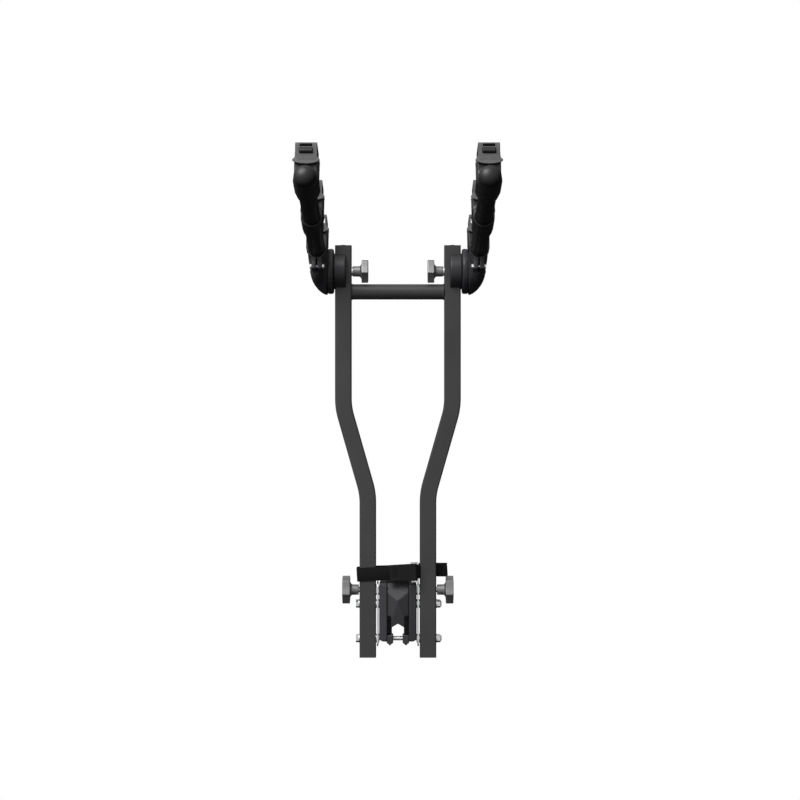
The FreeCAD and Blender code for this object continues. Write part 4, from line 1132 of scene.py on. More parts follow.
@dataclass
class ArmFrame:
    """The place of the right arm: its pivot, slope and rise."""

    offset: float = 144.8
    pivot_y: float = -28.0
    pivot_z: float = 629.0
    slope: float = 11.5
    rise: float = 22.5

    def place(self, points: Array) -> Array:
        """Arm coordinates turned down the slope about the pivot and moved there.

        Formula: a turn by the slope about X, then a shift to the pivot.

        Args:
            points: Points in the arm's own coordinates.

        Returns:
            The same points on the rack.
        """
        c, s = math.cos(math.radians(self.slope)), math.sin(math.radians(self.slope))
        y = self.pivot_y + points[:, 1] * c + points[:, 2] * s
        z = self.pivot_z - points[:, 1] * s + points[:, 2] * c
        return np.stack([points[:, 0] + self.offset, y, z], axis=1)

    def cradle_place(self, distance: float) -> Placing:
        """Placing for forms about a cradle's spot on the arm's middle line."""
        return lambda points: self.place(points + np.array([0.0, -distance, self.rise]))


@dataclass
class ArmPivot:
    """Saddle ring, friction disc, elbow hub and the arm's round tube."""

    arm: ArmFrame = field(default_factory=ArmFrame)
    saddle_start: float = 94.5
    saddle_end: float = 116.3
    saddle_radius: float = 33.0
    disc_end: float = 127.8
    disc_radius: float = 41.0
    tube_radius: float = 15.0
    tube_tip: float = -468.0
    tube_root: float = 6.0
    bolt_hole: float = 4.2
    socket_radius: float = 16.8
    socket_mouth: float = -69.9
    socket_root: float = 14.0
    collar_radius: float = 17.3
    lug_drop: float = 14.2
    lug_reach: float = 9.6
    split: float = 1.2

    @property
    def axle(self) -> tuple[float, float]:
        """Y and Z of the pivot's axis."""
        return (self.arm.pivot_y, self.arm.pivot_z)

    def hub(self) -> Mesh:
        """The elbow: a domed drum that swells into the arm's socket, and two pinch lugs.

        Formula: a spun drum, an ellipsoid and a rod along the arm run into each other over 12 mm.
        Two slabs below the rod, parted by a slit, are the lugs.

        Returns:
            The right hub, in place.
        """
        rise = self.arm.rise
        drum_profile = (
            (-17, 0),
            (-17, 42),
            (-15, 43),
            (-9, 40.6),
            (-4.4, 37.4),
            (0.6, 33),
            (4.6, 27),
            (8, 18.5),
            (10.6, 12),
            (10.6, 0),
        )
        drum = turned(Axis.X, (0, 0), drum_profile, 1.4)
        radius, root = self.socket_radius, self.socket_root
        socket = rod(Axis.Y, (0, rise), self.socket_mouth, root, radius, 1.2)
        socket = socket.joined(egg((0, root, rise), (radius, radius, radius)))
        elbow = egg((-1.0, -27.0, 0.0), (13.6, 38.0, 30.0))
        body = drum.joined(elbow, 12.0).joined(socket, 12.0)
        for side in (-1, 1):
            low, high = sorted((self.split * side, self.lug_reach * side))
            lug = slab((low, -68.9, -self.lug_drop), (high, -53.9, rise), 2.2)
            body = body.joined(lug, 5.0)
        body = body.carved(slab((-self.split, -80, -18), (self.split, -52, rise)), 0.8)
        body = body.joined(rod(Axis.Y, (0, rise), -71.0, -68.0, self.collar_radius, 0.4), 0.4)
        body = body.carved(rod(Axis.Y, (0, rise), -80, -64, self.tube_radius + 0.3), 0.3)
        return surface(body, (-19, -72, -46), (19, 33, 46), 1.15).placed(self.arm.place)

    def disc(self) -> Mesh:
        """The friction disc, a thick wheel with a well rounded rim.

        Formula: a rod along X less its bore.

        Returns:
            The right disc, in place.
        """
        form = rod(Axis.X, self.axle, self.saddle_end, self.disc_end, self.disc_radius, 3.6)
        bore = rod(Axis.X, self.axle, 100, 150, self.bolt_hole)
        return surface(form.carved(bore), (116, -70, 587), (128, 14, 671), 1.2)

    def saddle(self) -> Mesh:
        """The ring that straddles the tube.

        Formula: a rod along X less the upright's channel and the bore.

        Returns:
            The right ring, in place.
        """
        form = rod(Axis.X, self.axle, self.saddle_start, self.saddle_end, self.saddle_radius, 2.4)
        channel = slab((80, -40.65, 580), (114.35, -15.35, 680))
        bore = rod(Axis.X, self.axle, 80, 130, self.bolt_hole)
        return surface(form.carved(channel, 0.8).carved(bore), (94, -62, 595), (117, 6, 663), 1.1)

    def tube(self) -> Mesh:
        """The arm's round tube.

        Formula: a circle carried along the arm's middle line.

        Returns:
            The right tube, in place.
        """
        inner = np.linspace(self.tube_tip + 0.4, self.tube_root - 0.4, 60)
        stations = np.concatenate([[self.tube_tip], inner, [self.tube_root]])
        rings = tube_rings(stations, self.tube_radius, 72)
        turned_rings = np.stack([-rings[..., 1], rings[..., 0], rings[..., 2] + self.arm.rise], axis=-1)
        return swept(turned_rings).placed(self.arm.place)

    def fit(self, fitter: Fitter) -> None:
        """Make and place the pieces.

        Args:
            fitter: Puts each piece on its body.
        """
        fitter.fit_pair("saddle_ring_shell", self.saddle(), "hub_plastic", "frame", "saddle_ring")
        fitter.fit_pair("friction_disc_shell", self.disc(), "hub_plastic", "arm_SIDE", "friction_disc")
        fitter.fit_pair("hub_elbow", self.hub(), "hub_plastic", "arm_SIDE", "arm_hub")
        fitter.fit_pair("arm_bar", self.tube(), "arm_paint", "arm_SIDE", "arm_tube")


@dataclass
class HandKnob:
    """A six-sided hand knob with scooped flanks, a dished face and a necked stem."""

    across: float
    thickness: float
    stem: float
    bore: float
    roll: float
    stem_radius: float = 9.35
    scoop_radius: float = 60.0
    scoop_depth: float = 0.6

    def form(self) -> Form:
        """The knob along Z: outer face at zero, stem away from it.

        Formula: a hexagon carried along Z, less a large cylinder on each flank and an ellipsoid
        in the face, joined with a spun stem, less its bore.

        Returns:
            The form.
        """
        turn = np.radians(self.roll + 60.0 * np.arange(6))
        radius = self.across / 2.0
        corners = np.stack([radius * np.cos(turn), radius * np.sin(turn)], axis=1)
        head = plate(Axis.Z, corners, 0.0, self.thickness, 1.0)
        half_side = math.radians(30.0)
        reach = radius * math.cos(half_side) + self.scoop_radius - self.scoop_depth
        for angle in turn + half_side:
            place = (reach * math.cos(angle), reach * math.sin(angle))
            head = head.carved(rod(Axis.Z, place, -5, 30, self.scoop_radius), 0.8)
        dish = egg((0, 0, -3.0), (radius * 0.62, radius * 0.62, 4.4))
        end = self.thickness + self.stem
        shaft_line = (
            (self.thickness - 2, 0),
            (self.thickness - 2, 15),
            (self.thickness, 14),
            (self.thickness + 3.2, self.stem_radius + 0.3),
            (end, self.stem_radius),
            (end, 0),
        )
        shaft = turned(Axis.Z, (0, 0), shaft_line, 0.5)
        hole = rod(Axis.Z, (0, 0), self.thickness / 2.0, end + 5, self.bore)
        return head.carved(dish, 1.0).joined(shaft, 1.2).carved(hole)

    def mesh(self) -> Mesh:
        """The knob's surface about the origin."""
        reach = self.across / 2.0 + 1.0
        return surface(self.form(), (-reach, -reach, 0), (reach, reach, self.thickness + self.stem), 0.85)


@dataclass
class Knobs:
    """The four hand knobs of the rack."""

    arm: ArmFrame = field(default_factory=ArmFrame)
    arm_knob: HandKnob = field(default_factory=lambda: HandKnob(46.0, 12.0, 16.2, 4.1, 39.0))
    clamp_knob: HandKnob = field(default_factory=lambda: HandKnob(51.4, 13.9, 15.8, 5.05, 15.0))
    arm_face: float = 54.0
    clamp_face: float = 100.9
    clamp_height: float = 49.9

    def fit(self, fitter: Fitter) -> None:
        """Make and place the pieces.

        Args:
            fitter: Puts each piece on its body.
        """
        deep, high, low = self.arm.pivot_y, self.arm.pivot_z, self.clamp_height
        arm = self.arm_knob.mesh().placed(
            lambda v: np.stack([self.arm_face + v[:, 2], deep + v[:, 1], high - v[:, 0]], axis=1)
        )
        clamp = self.clamp_knob.mesh().placed(
            lambda v: np.stack([self.clamp_face - v[:, 2], deep + v[:, 1], low + v[:, 0]], axis=1)
        )
        fitter.fit_pair("arm_knob_grip", arm, "knob_plastic", "arm_knob_SIDE", "arm_knob")
        fitter.fit_pair("clamp_knob_grip", clamp, "knob_plastic", "clamp_knob_SIDE", "clamp_knob")


class Spot(Enum):
    """The three cradle places: distance from the pivot, sleeve front and rear."""

    TIP = (413.5, 481.0, 383.0)
    MIDDLE = (228.5, 260.0, 190.0)
    INNER = (43.5, 0.0, 0.0)

    @property
    def place(self) -> float:
        """Distance of the cradle's middle from the pivot."""
        return self.value[0]

    @property
    def word(self) -> str:
        """The cradle's word in node names."""
        return self.name.lower()


@dataclass
class Cradles:
    """Cradles, rubber linings, ladder straps and their catches."""

    arm: ArmFrame = field(default_factory=ArmFrame)
    hollow_height: float = 42.0
    hollow_radius: float = 22.0
    post_height: float = 50.0
    half_width: float = 19.0
    lining_half: float = 17.0
    lining_outer: float = 21.85
    lining_inner: float = 18.0
    rib_height: float = 0.4
    ribs: int = 16
    pin: tuple[float, float] = (27.5, 50.0)
    sleeve_radius: float = 18.0
    tube_radius: float = 15.15
    pin_radius: float = 2.1
    band_half: float = 17.5
    band_thickness: float = 3.0
    window_half: float = 10.85
    tab_half: tuple[float, float] = (22.0, 7.4)
    rung_step: float = 12.0

    def cradle(self, spot: Spot) -> Mesh:
        """One cradle with its sleeve, worked out about its own spot on the arm.

        Formula: an outline across the arm carried along X and joined with a sleeve, less the arm
        tube's bore, the bicycle tube's hollow and the slot for the strap's root.

        Args:
            spot: Which of the three cradles.

        Returns:
            The right-hand cradle, in place.
        """
        place, front, rear = spot.value
        half, top = self.half_width, self.post_height
        line = ((-27.5, 0), (27.5, 0), (27.5, 26), (33, 39), (33, top), (-27.5, top))
        body = plate(Axis.X, line, -half, half, 2.2)
        body = body.joined(rod(Axis.X, self.pin, -half, half, 5.5, 1.4), 1.0)
        if spot is Spot.TIP:
            sleeve = rod(Axis.Y, (0, 0), 13 - front + place, place - rear, self.sleeve_radius, 1.3)
            cap = egg((0, 13 - front + place, 0), (self.sleeve_radius, 13.0, self.sleeve_radius))
            body = body.joined(sleeve.joined(cap, 1.0), 9.0)
            bore = rod(Axis.Y, (0, 0), 13 - front + place, 60, self.tube_radius)
        elif spot is Spot.MIDDLE:
            sleeve = rod(Axis.Y, (0, 0), place - front, place - rear, self.sleeve_radius, 1.3)
            waist = slab((-18.2, -80, -30), (18.2, 80, 14))
            waist = waist.joined(slab((-half, -80, 12), (half, 80, 80)), 3.0)
            body = body.joined(sleeve, 9.0).kept(waist, 0.8)
            bore = rod(Axis.Y, (0, 0), -60, 60, self.tube_radius)
        else:
            bore = rod(Axis.Y, (0, 0), -60, 60, 17.1)
            body = body.carved(rod(Axis.X, (place, -self.arm.rise), -30, 30, 43.4), 0.8)
        body = body.carved(bore, 0.6)
        hollow = rod(Axis.X, (0, self.hollow_height), -40, 40, self.hollow_radius)
        mouth = slab((-40, -self.hollow_radius, self.hollow_height), (40, self.hollow_radius, 100))
        body = body.carved(hollow.joined(mouth), 1.2)
        body = body.carved(slab((-10.35, 21, 44.2), (10.35, 46, 80)), 0.8)
        body = self.shouldered(body)
        body = body.carved(rod(Axis.X, self.pin, -30, 30, self.pin_radius))
        low_y = -70 if spot is Spot.TIP else -34
        mesh = surface(body, (-20, low_y, -20), (20, 41, 57), 1.15)
        return mesh.placed(self.arm.cradle_place(place))

    def shouldered(self, form: Form) -> Form:
        """The form with the front post cut down on both sides of its middle tongue.

        Args:
            form: A cradle or its lining.

        Returns:
            The form with its shoulders cut.
        """
        for low, high in ((-30.0, -10.8), (10.8, 30.0)):
            form = form.carved(slab((low, -45, self.hollow_height), (high, -12, 80), 1.0), 0.8)
        return form

    def lining(self, spot: Spot) -> Mesh:
        """The rubber lining: a U with shallow ribs along the bicycle's tube.

        Formula: the inner radius swells by four tenths of a millimetre with
        the cosine of sixteen times the angle round the hollow.

        Args:
            spot: Which of the three cradles.

        Returns:
            The right-hand lining, in place.
        """

        def inner_distance(p: Array) -> Array:
            """The signed distance of every point.

            Args:
                p: Points, one row each.

            Returns:
                One distance for each point.
            """
            y, z = p[:, 1], p[:, 2] - self.hollow_height
            angle = np.arctan2(y, -z)
            ripple = self.rib_height * np.cos(self.ribs * angle) * (z < 4.0)
            round_part = np.hypot(y, z) - self.lining_inner - ripple
            straight = np.maximum(np.abs(y) - self.lining_inner, -z)
            return np.minimum(round_part, straight)

        half, radius = self.lining_half, self.lining_outer
        outer = rod(Axis.X, (0, self.hollow_height), -half, half, radius, 0.7)
        legs = slab((-half, -radius, self.hollow_height), (half, radius, self.post_height), 0.7)
        form = outer.joined(legs).carved(Form(inner_distance), 0.6)
        form = self.shouldered(form.kept(half_space((0, 0, self.post_height), (0, 0, 1)), 0.6))
        mesh = surface(form, (-18, -23, 19), (18, 23, 51), 0.9)
        return mesh.placed(self.arm.cradle_place(spot.place))

    def strap(self, spot: Spot) -> Mesh:
        """The rubber ladder strap over the hollow, closed as in use.

        The inner strap has wide windows instead of rungs, and slots beside its
        root.

        Formula: a band along a rounded path, joined with its root, hinge eye and ribbed oval tab,
        less its openings and the pin's hole.

        Args:
            spot: Which of the three cradles.

        Returns:
            The right-hand strap, in place.
        """
        top = 62.0 if spot is Spot.INNER else 64.5
        band_line = filleted(((27.5, 57.6), (27.5, top), (-29.6, top), (-29.6, 40.0)), 4.0)
        root_line = np.array(((27.5, 50.0), (27.5, 60.0)))
        tab_line = filleted(((-29.6, 47.0), (-29.9, 39.0), (-31.4, 33.0), (-33.2, 28.0)), 10.0)
        band = strip(band_line, self.band_thickness, self.band_half, 0.7)
        root = strip(root_line, self.band_thickness, 10.0, 0.7)
        turn = np.linspace(0.0, 2.0 * math.pi, 28, endpoint=False)
        wide, tall = self.tab_half
        oval = np.stack([wide * np.cos(turn), 35.4 + tall * np.sin(turn)], axis=1)
        neck = slab((-self.band_half, -60, 36), (self.band_half, 0, 48))
        tab_outline = plate(Axis.Y, oval, -60, 0).joined(neck, 3.0)
        tab = strip(tab_line, 3.2, 24.0, 0.8).kept(tab_outline, 1.6)
        for height, back in ((33.2, -32.7), (35.8, -32.2), (38.4, -31.7)):
            tab = tab.joined(rod(Axis.X, (back, height), -16, 16, 0.7, 0.5), 0.6)
        eye = rod(Axis.X, self.pin, -10, 10, 4.5, 0.6)
        form = band.joined(tab, 1.4).joined(root, 1.5).joined(eye, 1.2)
        side = self.window_half
        if spot is Spot.INNER:
            form = form.carved(slab((-14.5, -50, 46.15), (14.5, -20, 55.85), 1.2), 0.6)
            form = form.carved(slab((-side, -50, 34.15), (side, -20, 43.85), 1.2), 0.6)
            form = form.carved(slab((-14.5, -11, 55), (14.5, 21, 75), 1.5), 0.6)
            for low, high in ((-14.9, -10.3), (10.3, 14.9)):
                form = form.carved(slab((low, 12, 52), (high, 35, 75), 1.0), 0.4)
        else:
            form = form.carved(slab((-side, -50, 46.15), (side, -20, 55.85), 1.2), 0.6)
            form = form.carved(slab((-10, -50, 58), (10, -20, 62.5), 1.2), 0.6)
            for step in (-1, 0, 1):
                middle = step * self.rung_step
                form = form.carved(slab((-10, middle - 2.25, 55), (10, middle + 2.25, 75), 1.2), 0.6)
        form = form.carved(rod(Axis.X, self.pin, -30, 30, self.pin_radius))
        mesh = surface(form, (-22, -35, 27), (22, 33, 67), 0.8)
        return mesh.placed(self.arm.cradle_place(spot.place))

    def catch(self, spot: Spot) -> Mesh:
        """The moulded catch in the strap's rung, with a bulging lip.

        Formula: an outline carried along X.

        Args:
            spot: Which of the three cradles.

        Returns:
            The right-hand catch, in place.
        """
        low = 34.5 if spot is Spot.INNER else 46.5
        line = (
            (-28.1, low),
            (-32.4, low),
            (-35.2, low + 1.8),
            (-35.6, low + 4.4),
            (-33.6, low + 8.2),
            (-28.1, low + 9),
        )
        form = plate(Axis.X, line, -10.5, 10.5, 1.3)
        mesh = surface(form, (-11, -36, low - 0.5), (11, -28, low + 9.5), 0.6)
        return mesh.placed(self.arm.cradle_place(spot.place))

    def fit(self, fitter: Fitter) -> None:
        """Make and place the pieces.

        Args:
            fitter: Puts each piece on its body.
        """
        linings = None
        for spot in Spot:
            word = spot.word
            cradle, strap, catch = self.cradle(spot), self.strap(spot), self.catch(spot)
            body = "strap_%s_SIDE" % word
            fitter.fit_pair("cradle_%s_shell" % word, cradle, "cradle_plastic", "arm_SIDE", "cradle_" + word)
            fitter.fit_pair("strap_%s_band" % word, strap, "strap_rubber", body, "strap_" + word)
            fitter.fit_pair("strap_%s_catch" % word, catch, "cradle_plastic", body, "latch_" + word)
            lining = self.lining(spot)
            linings = lining if linings is None else linings.with_mesh(lining)
        fitter.fit_pair("cradle_linings", linings, "pad_rubber", "arm_SIDE", "cradle_pads")


@dataclass
class Hood:
    """The coupling's housing: faceted middle cover and two side shells."""

    wall: float = 3.0
    cover_half: float = 20.1
    cover_rear: float = 32.0
    cover_top: float = 66.5
    cheek_side: float = 34.0
    cheek_front: float = -48.0
    cheek_rear: float = 31.0
    cheek_top: float = 64.0
    window_radius: float = 12.4
    window_z: float = -22.5
    ridge_y: float = -53.0
    tip_z: float = 32.0
    brow_lean: float = 27.5
    flank_turn: float = 22.0
    axis_y: float = -28.0
    screw_z: float = 49.9
    bolt_z: tuple[float, float] = (24.5, -38.5)
    chin_lean: float = 6.8
    cheek_turn: float = 14.0
    side_wall: float = 2.3

    def facets(self, inset: float) -> Form:
        """The faceted front: a leaning brow, two flanks and a wedge that widens downwards.

        Formula: the space behind four planes that all pass through one tip,
        with the seams between them slightly rounded, moved inwards by the
        inset.

        Args:
            inset: How far the planes move inwards.

        Returns:
            The form.
        """
        brow, flank, chin = (math.radians(a) for a in (self.brow_lean, self.flank_turn, self.chin_lean))
        tip = (0, self.ridge_y, self.tip_z)
        form = half_space(tip, (0, -math.cos(brow), math.sin(brow)))
        form = form.kept(half_space(tip, (0, -math.cos(chin), -math.sin(chin))), 0.8)
        for side in (-1, 1):
            form = form.kept(half_space(tip, (side * math.sin(flank), -math.cos(flank), 0)), 0.8)
        return form.swollen(-inset)

    def cover(self) -> Mesh:
        """The middle cover with its slots, window, notch and feet.

        Formula: a box kept behind the facets and a bevel, less the same form one wall further in,
        with two feet, less its openings.

        Returns:
            The cover, in place.
        """
        half, rear, top = self.cover_half, self.cover_rear, self.cover_top
        block = slab((-half, -60, -46), (half, rear, top), 1.0)
        bevel = half_space((0, rear, top - 12.0), (0, 1, 1))
        outer = block.kept(self.facets(0.0), 1.6).kept(bevel, 1.6)
        room = slab((-40, -70, -70), (40, rear - self.wall, top - self.wall))
        inner = room.kept(self.facets(self.wall), 1.0).kept(bevel.swollen(-self.wall), 1.0)
        form = outer.carved(inner, 0.5)
        turn = np.radians(90.0 + 60.0 * np.arange(6))
        radius = self.window_radius
        window = np.stack([radius * np.cos(turn), self.window_z + radius * np.sin(turn)], axis=1)
        form = form.carved(plate(Axis.Y, window, -70, -30, 0.8), 1.2)
        for side in (-1, 1):
            foot_line = ((8.5, -31), (20, -31), (20, -46), (18, -46), (14.8, -50), (10.5, -46), (8.5, -44))
            foot = plate(Axis.Y, [(x * side, z) for x, z in foot_line][::side], -46.5, -16.5, 0.9)
            form = form.joined(foot, 1.2)
            low, high = sorted((12.0 * side, 24.0 * side))
            form = form.carved(slab((low, -70, -31), (high, -36, 3.7), 3.4), 1.0)
        form = form.carved(slab((-8.5, -70, -70), (8.5, -38, -28), 0.8), 1.0)
        form = form.carved(slab((-12, 18, -70), (12, 50, -3.7), 0.8), 0.8)
        form = form.carved(rod(Axis.X, (self.axis_y, self.bolt_z[1]), -30, 30, 4.2))
        return surface(form, (-21, -55, -51), (21, 33, 67.5), 1.2)

    def cheek(self) -> Mesh:
        """The right side shell, open towards the middle and downwards.

        Formula: a rounded box with a stepped and turned front, less the same form one wall
        further in, with a lap that reaches into the cover.

        Returns:
            The right-hand cheek, in place.
        """
        side, front, rear, top = self.cheek_side, self.cheek_front, self.cheek_rear, self.cheek_top
        block = slab((-20, front, -44), (side, rear, top), 7.0)
        outer = block.carved(slab((-30, -60, 60.4), (40, -41, 80), 0.8), 1.2)
        turn = math.radians(self.cheek_turn)
        outer = outer.kept(half_space((21, front, 0), (math.sin(turn), -math.cos(turn), 0)), 0.8)
        far_corner = (side - self.side_wall, rear - self.wall, top - self.wall)
        room = slab((-20, front + self.wall, -80), far_corner, 2.0)
        inner = room.carved(slab((-30, -60, 58.9), (40, -38.8, 80)))
        lap = slab((17.5, 24.6, -43), (24, 28.6, 60), 0.8)
        form = outer.carved(inner, 0.5).kept(half_space((20.2, 0, 0), (-1, 0, 0)), 0.6).joined(lap)
        for height, radius in ((self.screw_z, 5.3), (self.bolt_z[0], 4.15), (self.bolt_z[1], 4.15)):
            form = form.carved(rod(Axis.X, (self.axis_y, height), 10, 50, radius))
        return surface(form, (17, -49, -46), (34.2, 31, 64), 1.2)

    def fit(self, fitter: Fitter) -> None:
        """Make and place the pieces."""
        fitter.fit("hood_cover_shell", self.cover(), "hood_plastic", "frame", ["hood_cover"])
        fitter.fit_pair("hood_cheek_shell", self.cheek(), "hood_plastic", "frame", "hood_cheek")


@dataclass
class Webbing:
    """The strap round the lower uprights, its folded tail and the buckle's lever."""

    width: float = 25.0
    thickness: float = 1.6
    height: float = 82.2
    tilt: float = 3.3
    bend: float = 2.4
    lever_half: float = 15.2
    pin_x: float = 31.0
    pin_y: float = -50.7
    pin_radius: float = 1.85
    cam_radius: float = 4.2

    def place(self, points: Array) -> Array:
        """Strap coordinates tilted about the Y axis and raised; past 50 mm the strap runs level.

        Args:
            points: Points along, across and up the level strap.

        Returns:
            The same points on the rack.
        """
        c, s = math.cos(math.radians(self.tilt)), math.sin(math.radians(self.tilt))
        x = points[:, 0] * c - points[:, 2] * s
        level = np.maximum(points[:, 0] - 50.0, 0.0) * s
        z = self.height + points[:, 0] * s - level + points[:, 2] * c
        return np.stack([x, points[:, 1], z], axis=1)

    def ribbon(self, corners: Corners, closed: bool) -> tuple[Mesh, Array]:
        """A webbing strip that stands on edge along a path in plan.

        Formula: a flat ring of webbing section is set square to the path at
        each station; the map runs with the path's length and across the width,
        in centimetres.

        Args:
            corners: Plan points of the strip's middle line.
            closed: Whether the strip runs back into its start.

        Returns:
            The mesh, and one map place for each vertex.
        """
        points = list(corners) + [corners[0]] if closed else list(corners)
        path = filleted(points, self.bend)
        lengths = np.concatenate([[0.0], np.cumsum(np.linalg.norm(np.diff(path, axis=0), axis=1))])
        stations = np.linspace(0.0, lengths[-1], max(int(lengths[-1] / 1.6), 12))
        line = np.stack([np.interp(stations, lengths, path[:, i]) for i in (0, 1)], axis=1)
        ahead = np.gradient(line, axis=0)
        ahead /= np.linalg.norm(ahead, axis=1)[:, None]
        side = np.stack([-ahead[:, 1], ahead[:, 0]], axis=1)
        ring = rounded_ring(self.thickness, self.width, 0.6, 3)
        edge = np.concatenate([[0.0], np.cumsum(np.linalg.norm(np.diff(ring, axis=0), axis=1))])
        x = line[:, None, 0] + side[:, None, 0] * ring[None, :, 0]
        y = line[:, None, 1] + side[:, None, 1] * ring[None, :, 0]
        z = np.broadcast_to(ring[None, :, 1], x.shape)
        mesh = swept(np.stack([x, y, z], axis=-1))
        u = np.broadcast_to(stations[:, None] / 10.0, x.shape)
        v = np.broadcast_to(edge[None, :] / 10.0, x.shape)
        grid_map = np.stack([u, v], axis=-1).reshape(-1, 2)
        return mesh, np.vstack([grid_map, grid_map[[0, -1]]])

    def strap(self, fitter: Fitter) -> None:
        """The loop round the left upright and the tail behind the right one.

        Args:
            fitter: Puts each piece on its body.
        """
        loop = ((0, -41.6), (-74, -41.6), (-74, -14.3), (-38.5, -14.3), (35.2, -38.0), (35.2, -41.6))
        tail = ((33.6, -47.3), (38.4, -47.3), (38.4, -14.3), (89.9, -14.3), (89.9, -17.3), (71.5, -17.3))
        first, first_map = self.ribbon(loop, True)
        second, second_map = self.ribbon(tail, False)
        mesh = first.with_mesh(second).placed(self.place)
        piece = fitter.fit("webbing_band", mesh, "webbing", "frame", ["webbing_strap"], 50.0)
        places = np.vstack([first_map, second_map])
        layer = piece.data.uv_layers.new(name="weave")
        index = np.zeros(len(piece.data.loops), np.int32)
        piece.data.loops.foreach_get("vertex_index", index)
        layer.data.foreach_set("uv", places[index].astype(np.float32).ravel())

    def lever(self) -> Mesh:
        """The buckle's lever: a broad thumb plate with a cam round its pin.

        Formula: an outline in plan carried upwards and joined with the cam, less three grooves
        for the thumb and the pin's hole.

        Returns:
            The lever, in place.
        """
        pin_x, pin_y = self.pin_x, self.pin_y
        grip = (
            (-15, pin_y + 3.9),
            (-15, pin_y - 1.4),
            (-11, pin_y - 2.6),
            (27, pin_y - 2.65),
            (pin_x, pin_y - 1.0),
            (pin_x, pin_y + self.cam_radius),
        )
        tall = self.lever_half
        form = plate(Axis.Z, grip, -tall, tall, 1.2)
        form = form.joined(rod(Axis.Z, (pin_x, pin_y), -tall, tall, self.cam_radius, 0.8), 1.0)
        for spot in (-9.5, -5.5, -1.5):
            form = form.carved(slab((spot - 0.7, pin_y - 6, -10), (spot + 0.7, pin_y - 1.9, 10), 0.5), 0.8)
        form = form.carved(rod(Axis.Z, (pin_x, pin_y), -30, 30, self.pin_radius))
        return surface(form, (-16, -57, -tall - 0.5), (37, -45, tall + 0.5), 0.75).placed(self.place)

    def fit(self, fitter: Fitter) -> None:
        """Make and place the pieces."""
        self.strap(fitter)
        fitter.fit("buckle_thumb_plate", self.lever(), "black_plastic", "buckle_lever", ["buckle_lever"])


# Studio


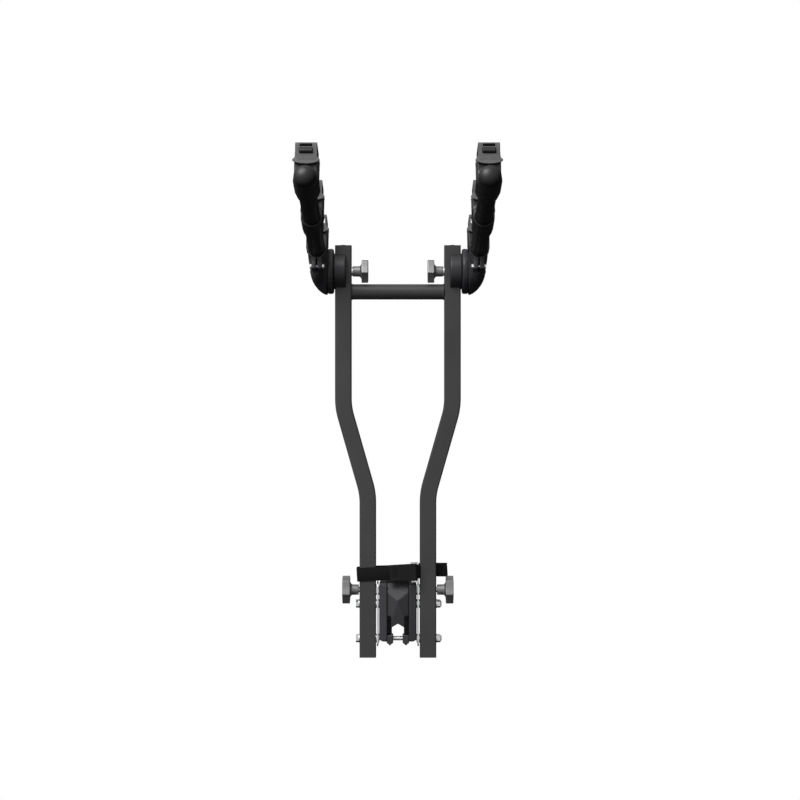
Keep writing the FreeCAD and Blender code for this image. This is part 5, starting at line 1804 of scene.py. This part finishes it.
@dataclass
class Studio:
    """Floor, soft light and the camera at the photograph's angle."""

    camera_place: tuple[float, float, float] = (0.0038, -3.228, 0.395)
    lens: float = 79.11
    floor_height: float = -0.0765
    brightest: tuple[float, float, float] = (-0.40, -0.50, 0.77)
    strength: float = 1.05
    dark_strength: float = 0.02
    dark_cosine: float = -0.35
    key_place: tuple[float, float, float] = (-1.25, -1.75, 2.75)
    key_target: tuple[float, float, float] = (0.0, -0.1, 0.4)
    key_size: float = 1.7
    key_power: float = 78.0

    def key(self) -> None:
        """A square soft light from the upper left, aimed at the rack's middle."""
        data = bpy.data.lights.new("key_left", "AREA")
        data.shape = "SQUARE"
        data.size = self.key_size
        data.energy = self.key_power
        lamp = bpy.data.objects.new("key_left", data)
        lamp.location = self.key_place
        aim = Vector(self.key_target) - Vector(self.key_place)
        lamp.rotation_euler = aim.to_track_quat("-Z", "Y").to_euler()
        bpy.context.scene.collection.objects.link(lamp)

    def sky(self) -> None:
        """A white tent, brightest towards the upper left front; the camera sees plain white.

        Formula: the strength grows evenly with the cosine between the ray and
        the brightest direction, and stays at its lowest under the dark cosine.
        """
        world = bpy.data.worlds.new("tent")
        world.use_nodes = True
        bpy.context.scene.world = world
        tree = world.node_tree
        place = tree.nodes.new("ShaderNodeTexCoord")
        cosine = tree.nodes.new("ShaderNodeVectorMath")
        cosine.operation = "DOT_PRODUCT"
        cosine.inputs[1].default_value = self.brightest
        tree.links.new(place.outputs["Generated"], cosine.inputs[0])
        span = tree.nodes.new("ShaderNodeMapRange")
        span.inputs["From Min"].default_value = self.dark_cosine
        span.inputs["From Max"].default_value = 1.0
        span.inputs["To Min"].default_value = self.dark_strength
        span.inputs["To Max"].default_value = self.strength
        tree.links.new(cosine.outputs["Value"], span.inputs["Value"])
        seen = tree.nodes.new("ShaderNodeLightPath")
        choice = tree.nodes.new("ShaderNodeMapRange")
        choice.inputs["To Max"].default_value = 1.0
        tree.links.new(seen.outputs["Is Camera Ray"], choice.inputs["Value"])
        tree.links.new(span.outputs["Result"], choice.inputs["To Min"])
        back = tree.nodes["Background"]
        back.inputs["Color"].default_value = (1.0, 1.0, 1.0, 1.0)
        tree.links.new(choice.outputs["Result"], back.inputs["Strength"])

    def floor(self) -> None:
        """A plain pale floor that the rack stands on."""
        data = bpy.data.meshes.new("floor")
        reach = 60.0
        corners = [(-reach, -reach), (reach, -reach), (reach, reach), (-reach, reach)]
        data.from_pydata([(x, y, self.floor_height) for x, y in corners], [], [(0, 1, 2, 3)])
        floor = bpy.data.objects.new("floor", data)
        material = bpy.data.materials.new("pale_floor")
        material.use_nodes = True
        tree = material.node_tree
        glow = tree.nodes.new("ShaderNodeEmission")
        glow.inputs["Color"].default_value = (1.0, 1.0, 1.0, 1.0)
        glow.inputs["Strength"].default_value = 1.0
        tree.links.new(glow.outputs["Emission"], tree.nodes["Material Output"].inputs["Surface"])
        data.materials.append(material)
        bpy.context.scene.collection.objects.link(floor)
        floor.visible_diffuse = False
        floor.visible_glossy = False
        floor.visible_shadow = False

    def camera(self) -> None:
        """The camera, level and a little right of the middle plane."""
        data = bpy.data.cameras.new("camera")
        data.lens = self.lens
        data.sensor_width = 36.0
        data.clip_end = 200.0
        camera = bpy.data.objects.new("camera", data)
        camera.location = self.camera_place
        camera.rotation_euler = (math.pi / 2.0, 0.0, 0.0)
        bpy.context.scene.collection.objects.link(camera)
        bpy.context.scene.camera = camera

    def build(self) -> None:
        """Set up the whole studio."""
        bpy.context.scene.view_settings.view_transform = "Standard"
        self.camera()
        self.sky()
        self.floor()
        self.key()


def main() -> None:
    """Build every sub-assembly in order."""
    logging.basicConfig(level=logging.INFO, format="%(name)s: %(message)s")
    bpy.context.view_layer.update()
    Studio().build()
    finishes = Finishes()
    finishes.prepare()
    finishes.dress_nodes()
    fitter = Fitter(finishes)
    for assembly in (Uprights(), ArmPivot(), Knobs(), Cradles(), Hood(), Webbing()):
        assembly.fit(fitter)
        LOG.info("%s fitted", type(assembly).__name__)
    LOG.info("%d pieces", fitter.count)


if __name__ == "__main__":
    main()
